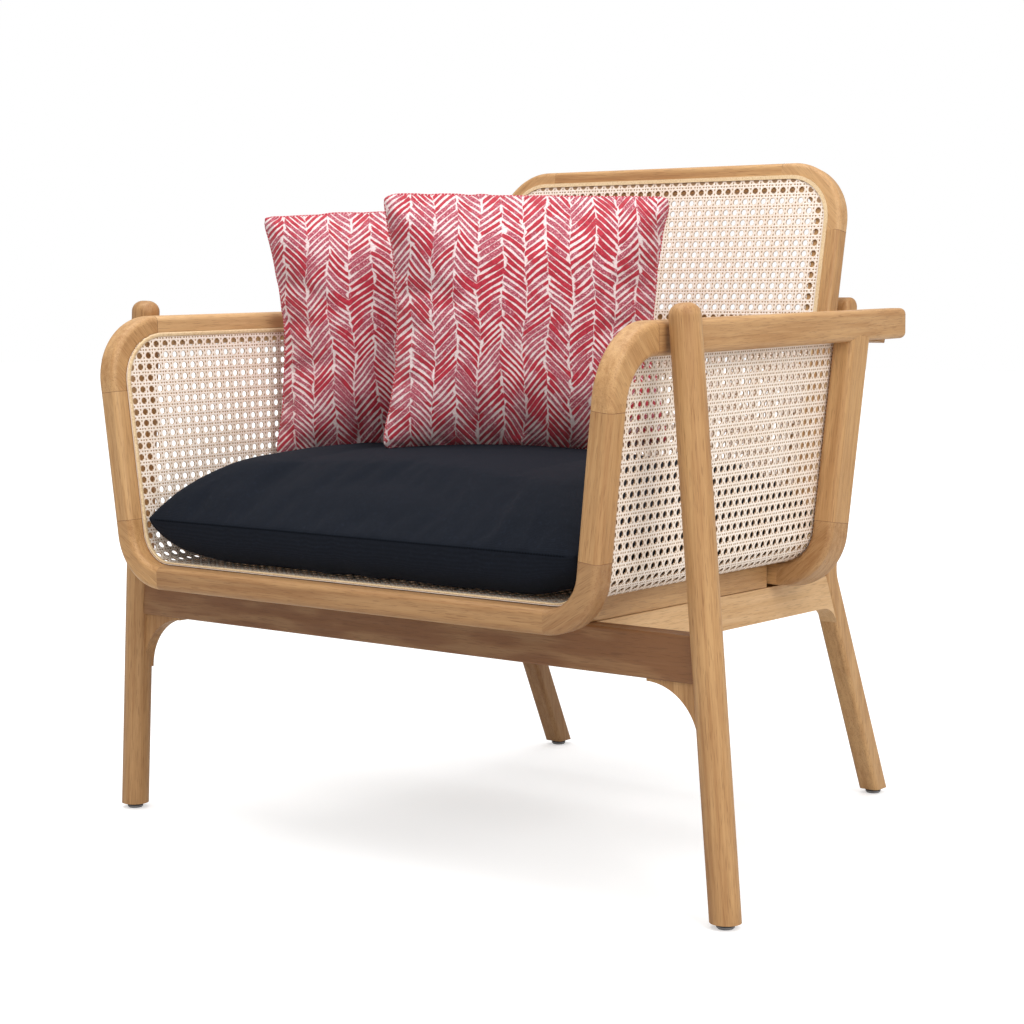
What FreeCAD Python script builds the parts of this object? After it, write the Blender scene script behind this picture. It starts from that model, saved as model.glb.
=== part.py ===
import FreeCAD, Part
import math
import os
import Sketcher
from FreeCAD import Vector, Placement, Rotation

# Low cane armchair: a bucket of bent round-edged hoops with a cane skin hangs
# between two turned front posts and two kinked rear legs, and a leaning hoop
# with a cane panel makes the back. Millimetres, +Z up, the sitter faces -Y.

SIZES = [
    ("seat_level", 285, "top of the aprons, where the bucket and the back stand"),
    ("glide_high", 6, "height of a foot glide"),
    ("glide_wide", 18.5, "diameter of a foot glide"),
    ("glide_bevel", 1.5, "bevel under a foot glide"),
    ("wood_fit", 0.15, "clearance where wood meets a curved face"),
    ("soft_gap", 0.3, "clearance round loose cushions"),
    ("overrun", 40, "how far cutting shapes run past the wood"),
    ("post_wide", 32, "diameter of a front post"),
    ("post_foot_half", 419, "half distance between the front feet"),
    ("post_head_out", 37.5, "post heads outside the front hoop's lower joint"),
    ("post_head_set", -12, "how far the post heads lie behind the feet"),
    ("post_high", 606, "height of the post heads"),
    ("post_dome", 12.5, "rounding of the post heads"),
    ("housing_gap", 0.4, "clearance of the post in its housing in the arm"),
    ("haunch_radius", 62, "curve of the haunch under the front apron"),
    ("haunch_edge", 3, "thickness of the haunch at its tip"),
    ("haunch_thick", 15, "thickness of the haunch"),
    ("haunch_inset", 1, "how far the haunch curve enters the post"),
    ("apron_low", 238, "underside of the front apron"),
    ("apron_thick", 24, "thickness of the front apron"),
    ("apron_round", 2.5, "rounding of the apron edges"),
    ("side_apron_low", 247, "underside of the side and rear aprons"),
    ("side_apron_thick", 22, "thickness of the side and rear aprons"),
    ("side_apron_half", 256, "half width over the side aprons"),
    ("side_apron_curve", 35, "curve from the side apron into the rear leg"),
    ("leg_thick", 26, "thickness of a rear leg across the chair"),
    ("leg_deep", 26, "depth of a rear leg in side view"),
    ("leg_round", 5.5, "edge rounding of a rear leg"),
    ("leg_splay", 134, "how far the rear feet lie behind the knees"),
    ("knee_apart", 65, "knees behind the back plane at seat level"),
    ("leg_high", 610, "height of a rear leg"),
    ("knee_front_curve", 60, "curve on the front of the knee"),
    ("knee_back_curve", 34, "curve on the back of the knee"),
    ("leg_head_curve", 12, "rounding of the rear leg head in side view"),
    ("hoop_wide", 26, "width of the bucket hoops in their own plane"),
    ("hoop_round", 7, "edge rounding of the bucket hoops"),
    ("front_hoop_deep", 30, "depth of the front hoop"),
    ("front_hoop_set", -84, "front hoop plane behind the feet, at its rail"),
    ("front_lean", -1.45, "lean of the front hoop in degrees"),
    ("front_flare", 6.7, "outward slope of the front uprights in degrees"),
    ("front_half", 336, "half width over the front hoop at the lower joint"),
    ("corner_inner", 39, "inner radius of the lower hoop corners"),
    ("lower_joint", 62, "lower joint above the rail centre"),
    ("upper_joint", 206, "upper joint above the rail centre"),
    ("arm_tall", 34.5, "height of an arm rail"),
    ("arm_front_high", 588, "top of the arm at its front corner"),
    ("arm_rear_high", 598, "top of the arm at its rear end"),
    ("arm_corner_radius", 58, "centre line radius of the arm corner"),
    ("arm_rear_half", 336, "half width over the arms at the rear end"),
    ("arm_past", 88, "rear end of the arms behind the back plane"),
    ("arm_end_round", 6, "rounding of the arm's rear end"),
    ("rear_hoop_deep", 42, "depth of the rear hoop"),
    ("hoop_apart", 444, "rear hoop plane behind the front one, at the rails"),
    ("rear_lean", 7.24, "lean of the rear hoop in degrees"),
    ("rear_half", 333, "half width over the rear hoop at the lower joint"),
    ("side_rail_thick", 24, "thickness of the rails under the bucket"),
    ("back_half", 254, "half width over the back hoop"),
    ("back_wide", 34.5, "width of the back hoop in its own plane"),
    ("back_thick", 23, "thickness of the back hoop"),
    ("back_round", 6, "edge rounding of the back hoop"),
    ("back_lean", 11.6, "lean of the back in degrees"),
    ("back_apart", 59, "back plane behind the rear hoop, at seat level"),
    ("back_high", 767, "height of the back"),
    ("back_corner_outer", 72, "outer radius of the back's top corners"),
    ("back_joint_run", 14, "straight from the back's corner to the top rail's joint"),
    ("back_joint_drop", 82, "joint in the upright below the back's top"),
    ("back_rail_wide", 26, "width of the back's bottom rail"),
    ("back_rail_lift", 5, "back's bottom rail above seat level"),
    ("cross_tall", 35, "height of the cross rail at arm level"),
    ("cross_thick", 16, "thickness of the cross rail"),
    ("cross_high", 597, "top of the cross rail"),
    ("cane_thick", 2, "thickness of the woven cane"),
    ("cane_gap", 0.7, "cane off the inner face of the hoops"),
    ("cane_front_inset", 18, "cane edge behind the front hoop's front face"),
    ("cane_rear_inset", 8, "cane edge behind the rear hoop's front face"),
    ("cane_top_drop", 14, "cane's top edge under the top of the arm"),
    ("bead_wide", 5, "width of the cane spline"),
    ("bead_proud", 1.2, "height of the spline over the cane"),
    ("back_bead_inset", 15.5, "spline inside the back's outer edge"),
    ("rebate_deep", 2.4, "depth of the rebate for the back's cane"),
    ("seat_front_gap", 7.3, "front seam of the cushion from the bucket's skin"),
    ("seat_rear_gap", 6.8, "rear seam of the cushion from the bucket's skin"),
    ("seat_corner_out", 2.5, "extra half width at the cushion's corners"),
    ("seat_front_set", -86, "front seam of the cushion behind the front feet"),
    ("seat_rear_past", 28, "rear seam of the cushion behind the rear hoop's foot"),
    ("seat_crown", 75, "rise of the cushion's crown over its seam"),
    ("seat_under", 46, "drop of the cushion's underside below its seam"),
    ("seam_thick", 3, "thickness of a cushion at its seam"),
    ("pillow_wide", 335, "width of a pillow over its corners"),
    ("pillow_tall", 291, "height of a pillow over its corners"),
    ("pillow_thick", 118, "thickness of a pillow"),
    ("pillow_drawn", 19, "how far a pillow's sides are drawn in"),
    ("pillow_yaw", 40, "turn of the pillows towards the right in degrees"),
    ("pillow_lean", 3, "lean of the pillows in degrees"),
    ("left_pillow_roll", 2.6, "turn of the left pillow in its own plane"),
    ("right_pillow_roll", -0.3, "turn of the right pillow in its own plane"),
    ("left_pillow_side", -172, "left pillow's foot to the right of the middle"),
    ("left_pillow_set", 226, "left pillow's foot behind the front feet"),
    ("right_pillow_side", 17, "right pillow's foot to the right of the middle"),
    ("right_pillow_set", 203, "right pillow's foot behind the front feet"),
]

# Places along a cushion from edge to edge.
STATION_SHARES = (0.0, 0.02, 0.07, 0.16, 0.3, 0.5, 0.7, 0.84, 0.93, 0.98, 1.0)
# Slope in degrees at a cushion's seam, and the crown's share of its mean slope.
SEAM_SLOPE = 68
UNDER_SLOPE = 76
CROWN_SHARE = 0.62

doc = FreeCAD.newDocument("cane_armchair")
sheet = doc.addObject("Spreadsheet::Sheet", "Sizes")
for row, (alias, value, meaning) in enumerate(SIZES, start=2):
    sheet.set("A%d" % row, meaning)
    sheet.set("B%d" % row, str(value))
    sheet.setAlias("B%d" % row, alias)
doc.recompute()


class Values:
    # The sheet's numbers by name.
    def __getattr__(self, name):
        return float(sheet.get(name))


v = Values()
parts = {}


def bind(obj, prop, formula):
    words = formula.split()
    names = {entry[0] for entry in SIZES}
    obj.setExpression(prop, " ".join("Sizes." + w if w in names else w for w in words))


def keep(obj, label):
    obj.Label = label
    parts[label] = obj
    return obj


def axes(across, along):
    # Rotation whose local X lies along "across" and local Z along "along".
    z = Vector(along).normalize()
    x = Vector(across)
    x = (x - z * x.dot(z)).normalize()
    return Rotation(x, z.cross(x), z, "ZXY")


def origin_plane(body, role):
    for feature in body.Origin.OriginFeatures:
        if feature.Role == role:
            return feature


def section(body, name, role, wide, deep, rounding):
    # Rounded rectangle centred on its plane, its three sizes bound to the sheet.
    sketch = body.newObject("Sketcher::SketchObject", name)
    sketch.AttachmentSupport = [(origin_plane(body, role), "")]
    sketch.MapMode = "FlatFace"
    half = v_of(wide) / 2
    tall = v_of(deep) / 2
    r = v_of(rounding)
    x = half - r
    y = tall - r
    up = Vector(0, 0, 1)
    lines = [((-x, -tall), (x, -tall)), ((half, -y), (half, y)),
             ((x, tall), (-x, tall)), ((-half, y), (-half, -y))]
    centres = [(x, -y, 270), (x, y, 0), (-x, y, 90), (-x, -y, 180)]
    for start, end in lines:
        sketch.addGeometry(Part.LineSegment(Vector(*start, 0), Vector(*end, 0)), False)
    for cx, cy, turn in centres:
        circle = Part.Circle(Vector(cx, cy, 0), up, r)
        a = math.radians(turn)
        arc = Part.ArcOfCircle(circle, a, a + math.pi / 2)
        sketch.addGeometry(arc, False)
    for side in range(4):
        sketch.addConstraint(Sketcher.Constraint("Tangent", side, 2, side + 4, 1))
        sketch.addConstraint(Sketcher.Constraint("Tangent", side + 4, 2, (side + 1) % 4, 1))
    for side, way in enumerate(("Horizontal", "Vertical", "Horizontal", "Vertical")):
        sketch.addConstraint(Sketcher.Constraint(way, side))
    for side in (5, 6, 7):
        sketch.addConstraint(Sketcher.Constraint("Equal", 4, side))
    sketch.addConstraint(Sketcher.Constraint("Symmetric", 0, 1, 2, 1, -1, 1))
    wide_at = sketch.addConstraint(Sketcher.Constraint("Distance", 3, 1, 1, 2 * half))
    deep_at = sketch.addConstraint(Sketcher.Constraint("Distance", 0, 1, 2, 2 * tall))
    round_at = sketch.addConstraint(Sketcher.Constraint("Radius", 4, r))
    bind(sketch, "Constraints[%d]" % wide_at, wide)
    bind(sketch, "Constraints[%d]" % deep_at, deep)
    bind(sketch, "Constraints[%d]" % round_at, rounding)
    return sketch


def v_of(name):
    return getattr(v, name)


def bar(label, start, along, across, length, wide, deep, rounding):
    # Straight round-edged bar from "start"; "wide" is measured along "across".
    body = doc.addObject("PartDesign::Body", label)
    sketch = section(body, label + "_section", "XY_Plane", wide, deep, rounding)
    pad = body.newObject("PartDesign::Pad", label + "_pad")
    pad.Profile = sketch
    if isinstance(length, str):
        pad.Length = v.overrun
        bind(pad, "Length", length)
    else:
        pad.Length = length
    body.Placement = Placement(start, axes(across, along))
    doc.recompute()
    return body


def round_edges(body, base, rounding, chosen):
    # Fillet on the edges that "chosen" accepts.
    names = ["Edge%d" % i for i, e in enumerate(base.Shape.Edges, 1) if chosen(e)]
    fillet = body.newObject("PartDesign::Fillet", body.Name + "_rounding")
    fillet.Base = (base, names)
    bind(fillet, "Radius", rounding)
    body.Tip = fillet
    doc.recompute()
    return fillet


def mirrored(label, source):
    other = doc.addObject("Part::Mirroring", label)
    other.Source = source
    other.Normal = Vector(1, 0, 0)
    return keep(other, label)


def both(name, obj):
    keep(obj, name + "_right")
    mirrored(name + "_left", obj)


def cut(label, base, tool):
    made = doc.addObject("Part::Cut", label + "_cut")
    made.Base = base
    made.Tool = tool
    doc.recompute()
    return made


def rounded_wire(points, radii):
    # Closed outline through points, each corner rounded by its own radius.
    edges = []
    ends = []
    count = len(points)
    for i in range(count):
        here = points[i]
        back = (points[i - 1] - here).normalize()
        ahead = (points[(i + 1) % count] - here).normalize()
        if radii[i] == 0:
            ends.append((here, None, here))
            continue
        half = back.getAngle(ahead) / 2
        run = radii[i] / math.tan(half)
        inner = here + (back + ahead).normalize() * (radii[i] / math.sin(half))
        middle = inner + (here - inner).normalize() * radii[i]
        ends.append((here + back * run, middle, here + ahead * run))
    for i in range(count):
        first, middle, last = ends[i]
        if middle is not None:
            edges.append(Part.Arc(first, middle, last).toShape())
        following = ends[(i + 1) % count][0]
        if (following - last).Length > 1e-6:
            edges.append(Part.LineSegment(last, following).toShape())
    return Part.Wire(edges)


def outline_body(label, wire, role, thickness):
    # Body padded both ways from an outline drawn on one of its own planes.
    body = doc.addObject("PartDesign::Body", label)
    sketch = body.newObject("Sketcher::SketchObject", label + "_outline")
    sketch.AttachmentSupport = [(origin_plane(body, role), "")]
    sketch.MapMode = "FlatFace"
    for edge in wire.Edges:
        ends = [p.Point for p in edge.Vertexes]
        if edge.Curve.TypeId == "Part::GeomLine":
            sketch.addGeometry(Part.LineSegment(ends[0], ends[1]), False)
        else:
            middle = edge.valueAt((edge.FirstParameter + edge.LastParameter) / 2)
            sketch.addGeometry(Part.Arc(ends[0], middle, ends[1]), False)
    pad = body.newObject("PartDesign::Pad", label + "_pad")
    pad.Profile = sketch
    pad.Midplane = True
    bind(pad, "Length", thickness)
    doc.recompute()
    return body, pad


# Planes of the three hoops.

class Plane:
    # A leaning hoop plane: local X across the chair, local Y up the slope.
    def __init__(self, setback, level, lean):
        a = math.radians(lean)
        self.origin = Vector(0, setback, level)
        self.up = Vector(0, math.sin(a), math.cos(a))
        self.front = Vector(0, -math.cos(a), math.sin(a))
        self.slope = math.tan(a)

    def at(self, x, u, forward=0.0):
        return self.origin + Vector(x, 0, 0) + self.up * u + self.front * forward

    def placement(self):
        return Placement(self.origin, Rotation(Vector(1, 0, 0), self.up, self.front, "ZXY"))


def rail_centre(deep, lean):
    # Height of a leaning round-edged rail whose lowest line is at seat level.
    a = math.radians(abs(lean))
    flat = (v.hoop_wide / 2 - v.hoop_round) * math.cos(a)
    return v.seat_level + flat + (deep / 2 - v.hoop_round) * math.sin(a) + v.hoop_round


front_level = rail_centre(v.front_hoop_deep, v.front_lean)
rear_level = rail_centre(v.rear_hoop_deep, v.rear_lean)
front = Plane(v.front_hoop_set, front_level, v.front_lean)
rear_set = v.front_hoop_set + v.hoop_apart
back_set = rear_set + v.back_apart
knee_set = back_set + v.knee_apart
rear = Plane(rear_set, rear_level, v.rear_lean)
back = Plane(back_set, v.seat_level, v.back_lean)
ACROSS = Vector(1, 0, 0)
corner_line = v.corner_inner + v.hoop_wide / 2


def corner_start(half, flare):
    # Half length of a rail whose upright passes "half" at the lower joint.
    b = math.radians(flare)
    rise = v.lower_joint - corner_line * (1 - math.sin(b))
    return half - rise * math.tan(b) - corner_line * math.cos(b)


def upright_at(half, flare, u):
    return half + (u - v.lower_joint) * math.tan(math.radians(flare))


# Line of the arm rail, from the front hoop to its rear end.

front_line = v.front_half - v.hoop_wide / 2
rear_line = v.rear_half - v.hoop_wide / 2
flare_way = math.radians(v.front_flare)
arm_half_tall = v.arm_tall / 2
knuckle_u = (v.arm_front_high - arm_half_tall - front_level) / front.up.z
knuckle = front.at(upright_at(front_line, v.front_flare, knuckle_u), knuckle_u)
arm_end = Vector(v.arm_rear_half - v.hoop_wide / 2, back_set + v.arm_past,
                 v.arm_rear_high - arm_half_tall)
arm_way = (arm_end - knuckle).normalize()
upright_way = (ACROSS * math.sin(flare_way) + front.up * math.cos(flare_way)).normalize()
arm_turn = upright_way.getAngle(arm_way)
arm_run = v.arm_corner_radius * math.tan(arm_turn / 2)
bend_low = knuckle - upright_way * arm_run
bend_high = knuckle + arm_way * arm_run
bend_centre_way = (arm_way - upright_way).normalize()
bend_middle = knuckle + bend_centre_way * (
    v.arm_corner_radius / math.cos(arm_turn / 2) - v.arm_corner_radius)


def arm_point(y):
    return knuckle + arm_way * ((y - knuckle.y) / arm_way.y)


# Front posts: turned, domed, cut level at the foot, with a haunch in one piece.
foot_point = Vector(v.post_foot_half, 0, v.glide_high)
head_point = Vector(v.front_half + v.post_head_out, v.post_head_set, v.post_high)
post_way = (head_point - foot_point).normalize()


def post_axis(z):
    return foot_point + post_way * ((z - foot_point.z) / post_way.z)


def post_rod(label, extra):
    rod = doc.addObject("Part::Cylinder", label)
    rod.Radius = v.post_wide / 2
    bind(rod, "Radius", "post_wide / 2" + (" + " + extra if extra else ""))
    rod.Height = (head_point - foot_point).Length + v.overrun
    low = foot_point - post_way * v.overrun
    rod.Placement = Placement(low, axes(ACROSS, post_way))
    return rod


rod = post_rod("post_rod", "")
floor_block = doc.addObject("Part::Box", "floor_block")
for prop in ("Length", "Width", "Height"):
    bind(floor_block, prop, "4 * overrun")
floor_block.Placement = Placement(
    foot_point - Vector(2 * v.overrun, 2 * v.overrun, 4 * v.overrun), Rotation())
doc.recompute()
top_edge = max(enumerate(rod.Shape.Edges, 1), key=lambda e: e[1].CenterOfMass.z)
domed = doc.addObject("Part::Fillet", "post_domed")
domed.Base = rod
domed.Edges = [(top_edge[0], v.post_dome, v.post_dome)]
doc.recompute()
level_post = cut("post_level", domed, floor_block)
haunch_foot = v.apron_low - v.haunch_edge - v.haunch_radius
haunch_end = post_axis(haunch_foot).x - v.post_wide / 2 + v.haunch_inset
haunch_centre = Vector(haunch_end - v.haunch_radius, haunch_foot, 0)
low_axis = Vector(post_axis(haunch_foot).x, haunch_foot, 0)
high_axis = Vector(post_axis(v.apron_low).x, v.apron_low, 0)
tip_low = haunch_centre + Vector(0, v.haunch_radius, 0)
diagonal = math.radians(45)
mid_arc = haunch_centre + Vector(math.cos(diagonal), math.sin(diagonal), 0) * v.haunch_radius
haunch_wire = Part.Wire([
    Part.LineSegment(tip_low, Vector(tip_low.x, v.apron_low, 0)).toShape(),
    Part.LineSegment(Vector(tip_low.x, v.apron_low, 0), high_axis).toShape(),
    Part.LineSegment(high_axis, low_axis).toShape(),
    Part.LineSegment(low_axis, Vector(haunch_end, haunch_foot, 0)).toShape(),
    Part.Arc(Vector(haunch_end, haunch_foot, 0), mid_arc, tip_low).toShape()])
haunch, _ = outline_body("haunch", haunch_wire, "XZ_Plane", "haunch_thick")
post = doc.addObject("Part::Fuse", "front_post_right")
post.Base = level_post
post.Tool = haunch
doc.recompute()
both("front_post", post)

# Front apron between the posts, its ends hollowed to their round faces.
apron_rod = post_rod("apron_rod", "wood_fit")
apron_rod_left = doc.addObject("Part::Mirroring", "apron_rod_left")
apron_rod_left.Source = apron_rod
apron_rod_left.Normal = ACROSS
reach = post_axis(v.apron_low).x
apron_wire = rounded_wire(
    [Vector(-reach, v.apron_low, 0), Vector(reach, v.apron_low, 0),
     Vector(reach, v.seat_level, 0), Vector(-reach, v.seat_level, 0)], (0, 0, 0, 0))
apron, apron_pad = outline_body("apron_blank", apron_wire, "XZ_Plane", "apron_thick")
round_edges(apron, apron_pad, "apron_round",
            lambda e: e.Length > reach and e.CenterOfMass.y < 0)
keep(cut("front_apron", cut("apron_one", apron, apron_rod), apron_rod_left), "front_apron")

# Rear legs: one piece from the foot to the kink and up to the domed head.
back_face = back_set + v.back_thick / 2 / back.up.z
cross_rise = v.cross_high - v.seat_level
knee_to_cross = back_face + cross_rise * back.slope + v.cross_thick / back.up.z
knee_to_cross += v.leg_deep / 2 + v.wood_fit - knee_set
head_slope = knee_to_cross / cross_rise
foot_slope = v.leg_splay / v.seat_level


def leg_line(z, side):
    # Y of the leg's front (-1), middle (0) or back (+1) line at a height.
    if z < v.seat_level:
        centre = knee_set + (v.seat_level - z) * foot_slope
        return centre + side * v.leg_deep / 2 * math.hypot(1, foot_slope)
    centre = knee_set + (z - v.seat_level) * head_slope
    return centre + side * v.leg_deep / 2 * math.hypot(1, head_slope)


def leg_kink(side):
    offset = side * v.leg_deep / 2
    low = math.hypot(1, foot_slope) * offset
    high = math.hypot(1, head_slope) * offset
    dz = (low - high) / (foot_slope + head_slope)
    return Vector(knee_set + dz * head_slope + high, v.seat_level + dz, 0)


leg_wire = rounded_wire(
    [Vector(leg_line(v.glide_high, -1), v.glide_high, 0),
     Vector(leg_line(v.glide_high, 1), v.glide_high, 0),
     leg_kink(1),
     Vector(leg_line(v.leg_high, 1), v.leg_high, 0),
     Vector(leg_line(v.leg_high, -1), v.leg_high, 0),
     leg_kink(-1)],
    (0, 0, v.knee_back_curve, v.leg_head_curve, v.leg_head_curve, v.knee_front_curve))
leg, leg_pad = outline_body("rear_leg_right", leg_wire, "YZ_Plane", "leg_thick")
half_thick = v.leg_thick / 2
round_edges(leg, leg_pad, "leg_round",
            lambda e: abs(abs(e.CenterOfMass.x) - half_thick) < v.wood_fit
            and e.CenterOfMass.z > 2 * v.glide_high)
leg.Placement = Placement(Vector(v.side_apron_half - half_thick, 0, 0), Rotation())
both("rear_leg", leg)

# Side aprons from the front apron to the rear legs, with a curve at the leg.
def apron_end(z):
    return leg_line(z, -1) - v.wood_fit


curve_low = v.side_apron_low
bend = math.pi / 2 + math.atan(foot_slope)
curve_run = v.side_apron_curve / math.tan(bend / 2)
touch = Vector(apron_end(curve_low) - curve_run, curve_low, 0)
below = curve_low - curve_run * math.cos(math.atan(foot_slope))
meet = Vector(apron_end(below), below, 0)
centre = Vector(touch.x, curve_low - v.side_apron_curve, 0)
corner = Vector(apron_end(curve_low), curve_low, 0)
middle = centre + (corner - centre).normalize() * v.side_apron_curve
side_front = v.apron_thick / 2
points = [Vector(side_front, curve_low, 0), Vector(side_front, v.seat_level, 0),
          Vector(apron_end(v.seat_level - v.wood_fit), v.seat_level, 0), meet]
side_wire = Part.Wire([
    Part.LineSegment(points[0], points[1]).toShape(),
    Part.LineSegment(points[1], points[2]).toShape(),
    Part.LineSegment(points[2], points[3]).toShape(),
    Part.Arc(points[3], middle, touch).toShape(),
    Part.LineSegment(touch, points[0]).toShape()])
side_apron, _ = outline_body("side_apron_right", side_wire, "YZ_Plane", "side_apron_thick")
side_apron.Placement = Placement(
    Vector(v.side_apron_half - v.side_apron_thick / 2, 0, 0), Rotation())
both("side_apron", side_apron)

# Rear apron between the rear legs.
rear_mid = (v.side_apron_low + v.seat_level) / 2
rear_half_run = v.side_apron_half - v.leg_thick
rear_apron = doc.addObject("Part::Box", "rear_apron")
bind(rear_apron, "Length", "2 * ( side_apron_half - leg_thick )")
bind(rear_apron, "Width", "side_apron_thick")
bind(rear_apron, "Height", "seat_level - side_apron_low")
rear_apron.Placement = Placement(
    Vector(-rear_half_run, leg_line(rear_mid, 0) - v.side_apron_thick / 2,
           v.side_apron_low), Rotation())
keep(rear_apron, "rear_apron")

# Foot glides.
def glide(name, x, y):
    disc = doc.addObject("Part::Cylinder", name + "_disc")
    bind(disc, "Radius", "glide_wide / 2")
    bind(disc, "Height", "glide_high")
    doc.recompute()
    low = min(enumerate(disc.Shape.Edges, 1), key=lambda e: e[1].CenterOfMass.z)
    soft = doc.addObject("Part::Chamfer", name)
    soft.Base = disc
    soft.Edges = [(low[0], v.glide_bevel, v.glide_bevel)]
    soft.Placement = Placement(Vector(x, y, 0), Rotation())
    doc.recompute()
    both(name, soft)


glide("front_glide", v.post_foot_half, 0)
glide("rear_glide", v.side_apron_half - half_thick, leg_line(v.glide_high, 0))


def hoop_corner(label, plane, half, flare, deep):
    # Lower corner: a section carried round an arc and up to the joint.
    b = math.radians(flare)
    start = corner_start(half, flare)
    end = Vector(start + corner_line * math.cos(b), corner_line * (1 - math.sin(b)), 0)
    turn = (math.pi / 2 - b) / 2
    middle = Vector(start + corner_line * math.sin(turn),
                    corner_line * (1 - math.cos(turn)), 0)
    joint = Vector(upright_at(half, flare, v.lower_joint), v.lower_joint, 0)
    body = doc.addObject("PartDesign::Body", label)
    path = body.newObject("Sketcher::SketchObject", label + "_path")
    path.AttachmentSupport = [(origin_plane(body, "XY_Plane"), "")]
    path.MapMode = "FlatFace"
    path.addGeometry(Part.Arc(Vector(start, 0, 0), middle, end), False)
    path.addGeometry(Part.LineSegment(end, joint), False)
    path.addConstraint(Sketcher.Constraint("Coincident", 0, 2, 1, 1))
    profile = section(body, label + "_section", "YZ_Plane", "hoop_wide", deep, "hoop_round")
    profile.AttachmentOffset = Placement(Vector(0, 0, start), Rotation())
    pipe = body.newObject("PartDesign::AdditivePipe", label + "_pipe")
    pipe.Profile = profile
    pipe.Spine = (path, ["Edge1", "Edge2"])
    body.Placement = plane.placement()
    doc.recompute()
    return body


def hoop(name, plane, half, flare, deep, top):
    start = corner_start(half, flare)
    rail = bar(name + "_rail", plane.at(-start, 0), ACROSS, plane.up, 2 * start,
               "hoop_wide", deep, "hoop_round")
    keep(rail, name + "_rail")
    both(name + "_corner", hoop_corner(name + "_corner_right", plane, half, flare, deep))
    b = math.radians(flare)
    way = ACROSS * math.sin(b) + plane.up * math.cos(b)
    low = plane.at(upright_at(half, flare, v.lower_joint), v.lower_joint)
    return bar(name + "_upright_right", low, way, ACROSS,
               (top - v.lower_joint) / math.cos(b), "hoop_wide", deep, "hoop_round")


front_upright = hoop("front", front, front_line, v.front_flare, "front_hoop_deep",
                     v.upper_joint)
both("front_upright", front_upright)

# Arm rail with a housing for the post and a rounded rear end.
arm_blank = bar("arm_blank", bend_high, arm_way, ACROSS, (arm_end - bend_high).Length,
                "hoop_wide", "arm_tall", "hoop_round")
far = (arm_end - bend_high).Length
round_edges(arm_blank, arm_blank.Tip, "arm_end_round",
            lambda e: abs(e.CenterOfMass.z - far) < v.wood_fit)
housing = post_rod("housing_rod", "housing_gap")
both("arm_rail", cut("arm_rail_right", arm_blank, housing))

# Arm corner: the upright's section turns back and grows into the arm's.
def section_wire(centre, across, other, wide, deep, rounding):
    x = Vector(across).normalize()
    y = Vector(other).normalize()
    corners = [centre + x * (i * wide / 2) + y * (j * deep / 2)
               for i, j in ((-1, -1), (1, -1), (1, 1), (-1, 1))]
    return rounded_wire(corners, (rounding,) * 4)


joint_point = front.at(upright_at(front_line, v.front_flare, v.upper_joint), v.upper_joint)
low_across = (ACROSS * math.cos(flare_way) - front.up * math.sin(flare_way))
arm_across = (ACROSS - arm_way * ACROSS.dot(arm_way)).normalize()
arm_up = arm_across.cross(arm_way).normalize()
low_section = section_wire(joint_point, low_across, front.front, v.hoop_wide,
                           v.front_hoop_deep, v.hoop_round)
high_section = section_wire(bend_high, arm_across, arm_up, v.hoop_wide, v.arm_tall,
                            v.hoop_round)
arm_path = Part.Wire([
    Part.LineSegment(joint_point, bend_low).toShape(),
    Part.Arc(bend_low, bend_middle, bend_high).toShape()])
arm_corner = doc.addObject("Part::Feature", "arm_corner_right")
arm_corner.Shape = arm_path.makePipeShell([low_section, high_section], True, False)
both("arm_corner", arm_corner)

# Rear hoop: its uprights stop under the arm and are scribed to its round edge.
rear_meet = rear.origin.y + (v.arm_front_high - rear_level) * rear.slope
arm_over = arm_point(rear_meet)
arm_over = arm_point(rear.origin.y + (arm_over.z - arm_half_tall - rear_level) * rear.slope)
rear_top = (arm_over.z - arm_half_tall - rear_level) / rear.up.z
rear_flare = math.degrees(math.atan2(arm_over.x - rear_line, rear_top - v.lower_joint))
rear_upright = hoop("rear", rear, rear_line, rear_flare, "rear_hoop_deep",
                    rear_top + v.hoop_round)
both("rear_upright", cut("rear_upright_right", rear_upright, arm_blank))

# Side rails under the bucket, from hoop to hoop.
rail_front = front.origin.y + v.front_hoop_deep / 2 / front.up.z
rail_front += abs(front.slope) * (front_level - v.seat_level)
rail_rear = rear.origin.y - v.rear_hoop_deep / 2 / rear.up.z
rail_rear -= abs(rear.slope) * (rear_level - v.seat_level)
rail_level = v.seat_level + v.hoop_wide / 2
side_rail = bar("side_rail_right",
                Vector(v.side_apron_half - v.side_rail_thick / 2, rail_front, rail_level),
                Vector(0, 1, 0), ACROSS, rail_rear - rail_front,
                "side_rail_thick", "hoop_wide", "apron_round")
both("side_rail", side_rail)


# Leaning back.

back_top = (v.back_high - v.seat_level) / back.up.z
back_line = v.back_half - v.back_wide / 2
top_line = back_top - v.back_wide / 2
turn_line = v.back_corner_outer - v.back_wide / 2
joint_low = back_top - v.back_joint_drop
rebate_half = v.back_half - v.back_bead_inset
rebate_top = back_top - v.back_bead_inset
rebate_low = v.back_rail_lift + v.back_rail_wide / 2
rebate_curve = v.back_corner_outer - v.back_bead_inset


def panel(label, inset, low_inset, face, deep, curve):
    # Flat rounded slab in the back plane; "face" is its front over the middle.
    half = rebate_half - inset
    wire = rounded_wire(
        [Vector(-half, rebate_low + low_inset, 0), Vector(half, rebate_low + low_inset, 0),
         Vector(half, rebate_top - inset, 0), Vector(-half, rebate_top - inset, 0)],
        (0, 0, curve - inset, curve - inset))
    made = doc.addObject("Part::Feature", label)
    made.Shape = Part.Face(wire).extrude(Vector(0, 0, deep))
    lift = Placement(Vector(0, 0, face - deep), Rotation())
    made.Placement = back.placement().multiply(lift)
    return made


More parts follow.
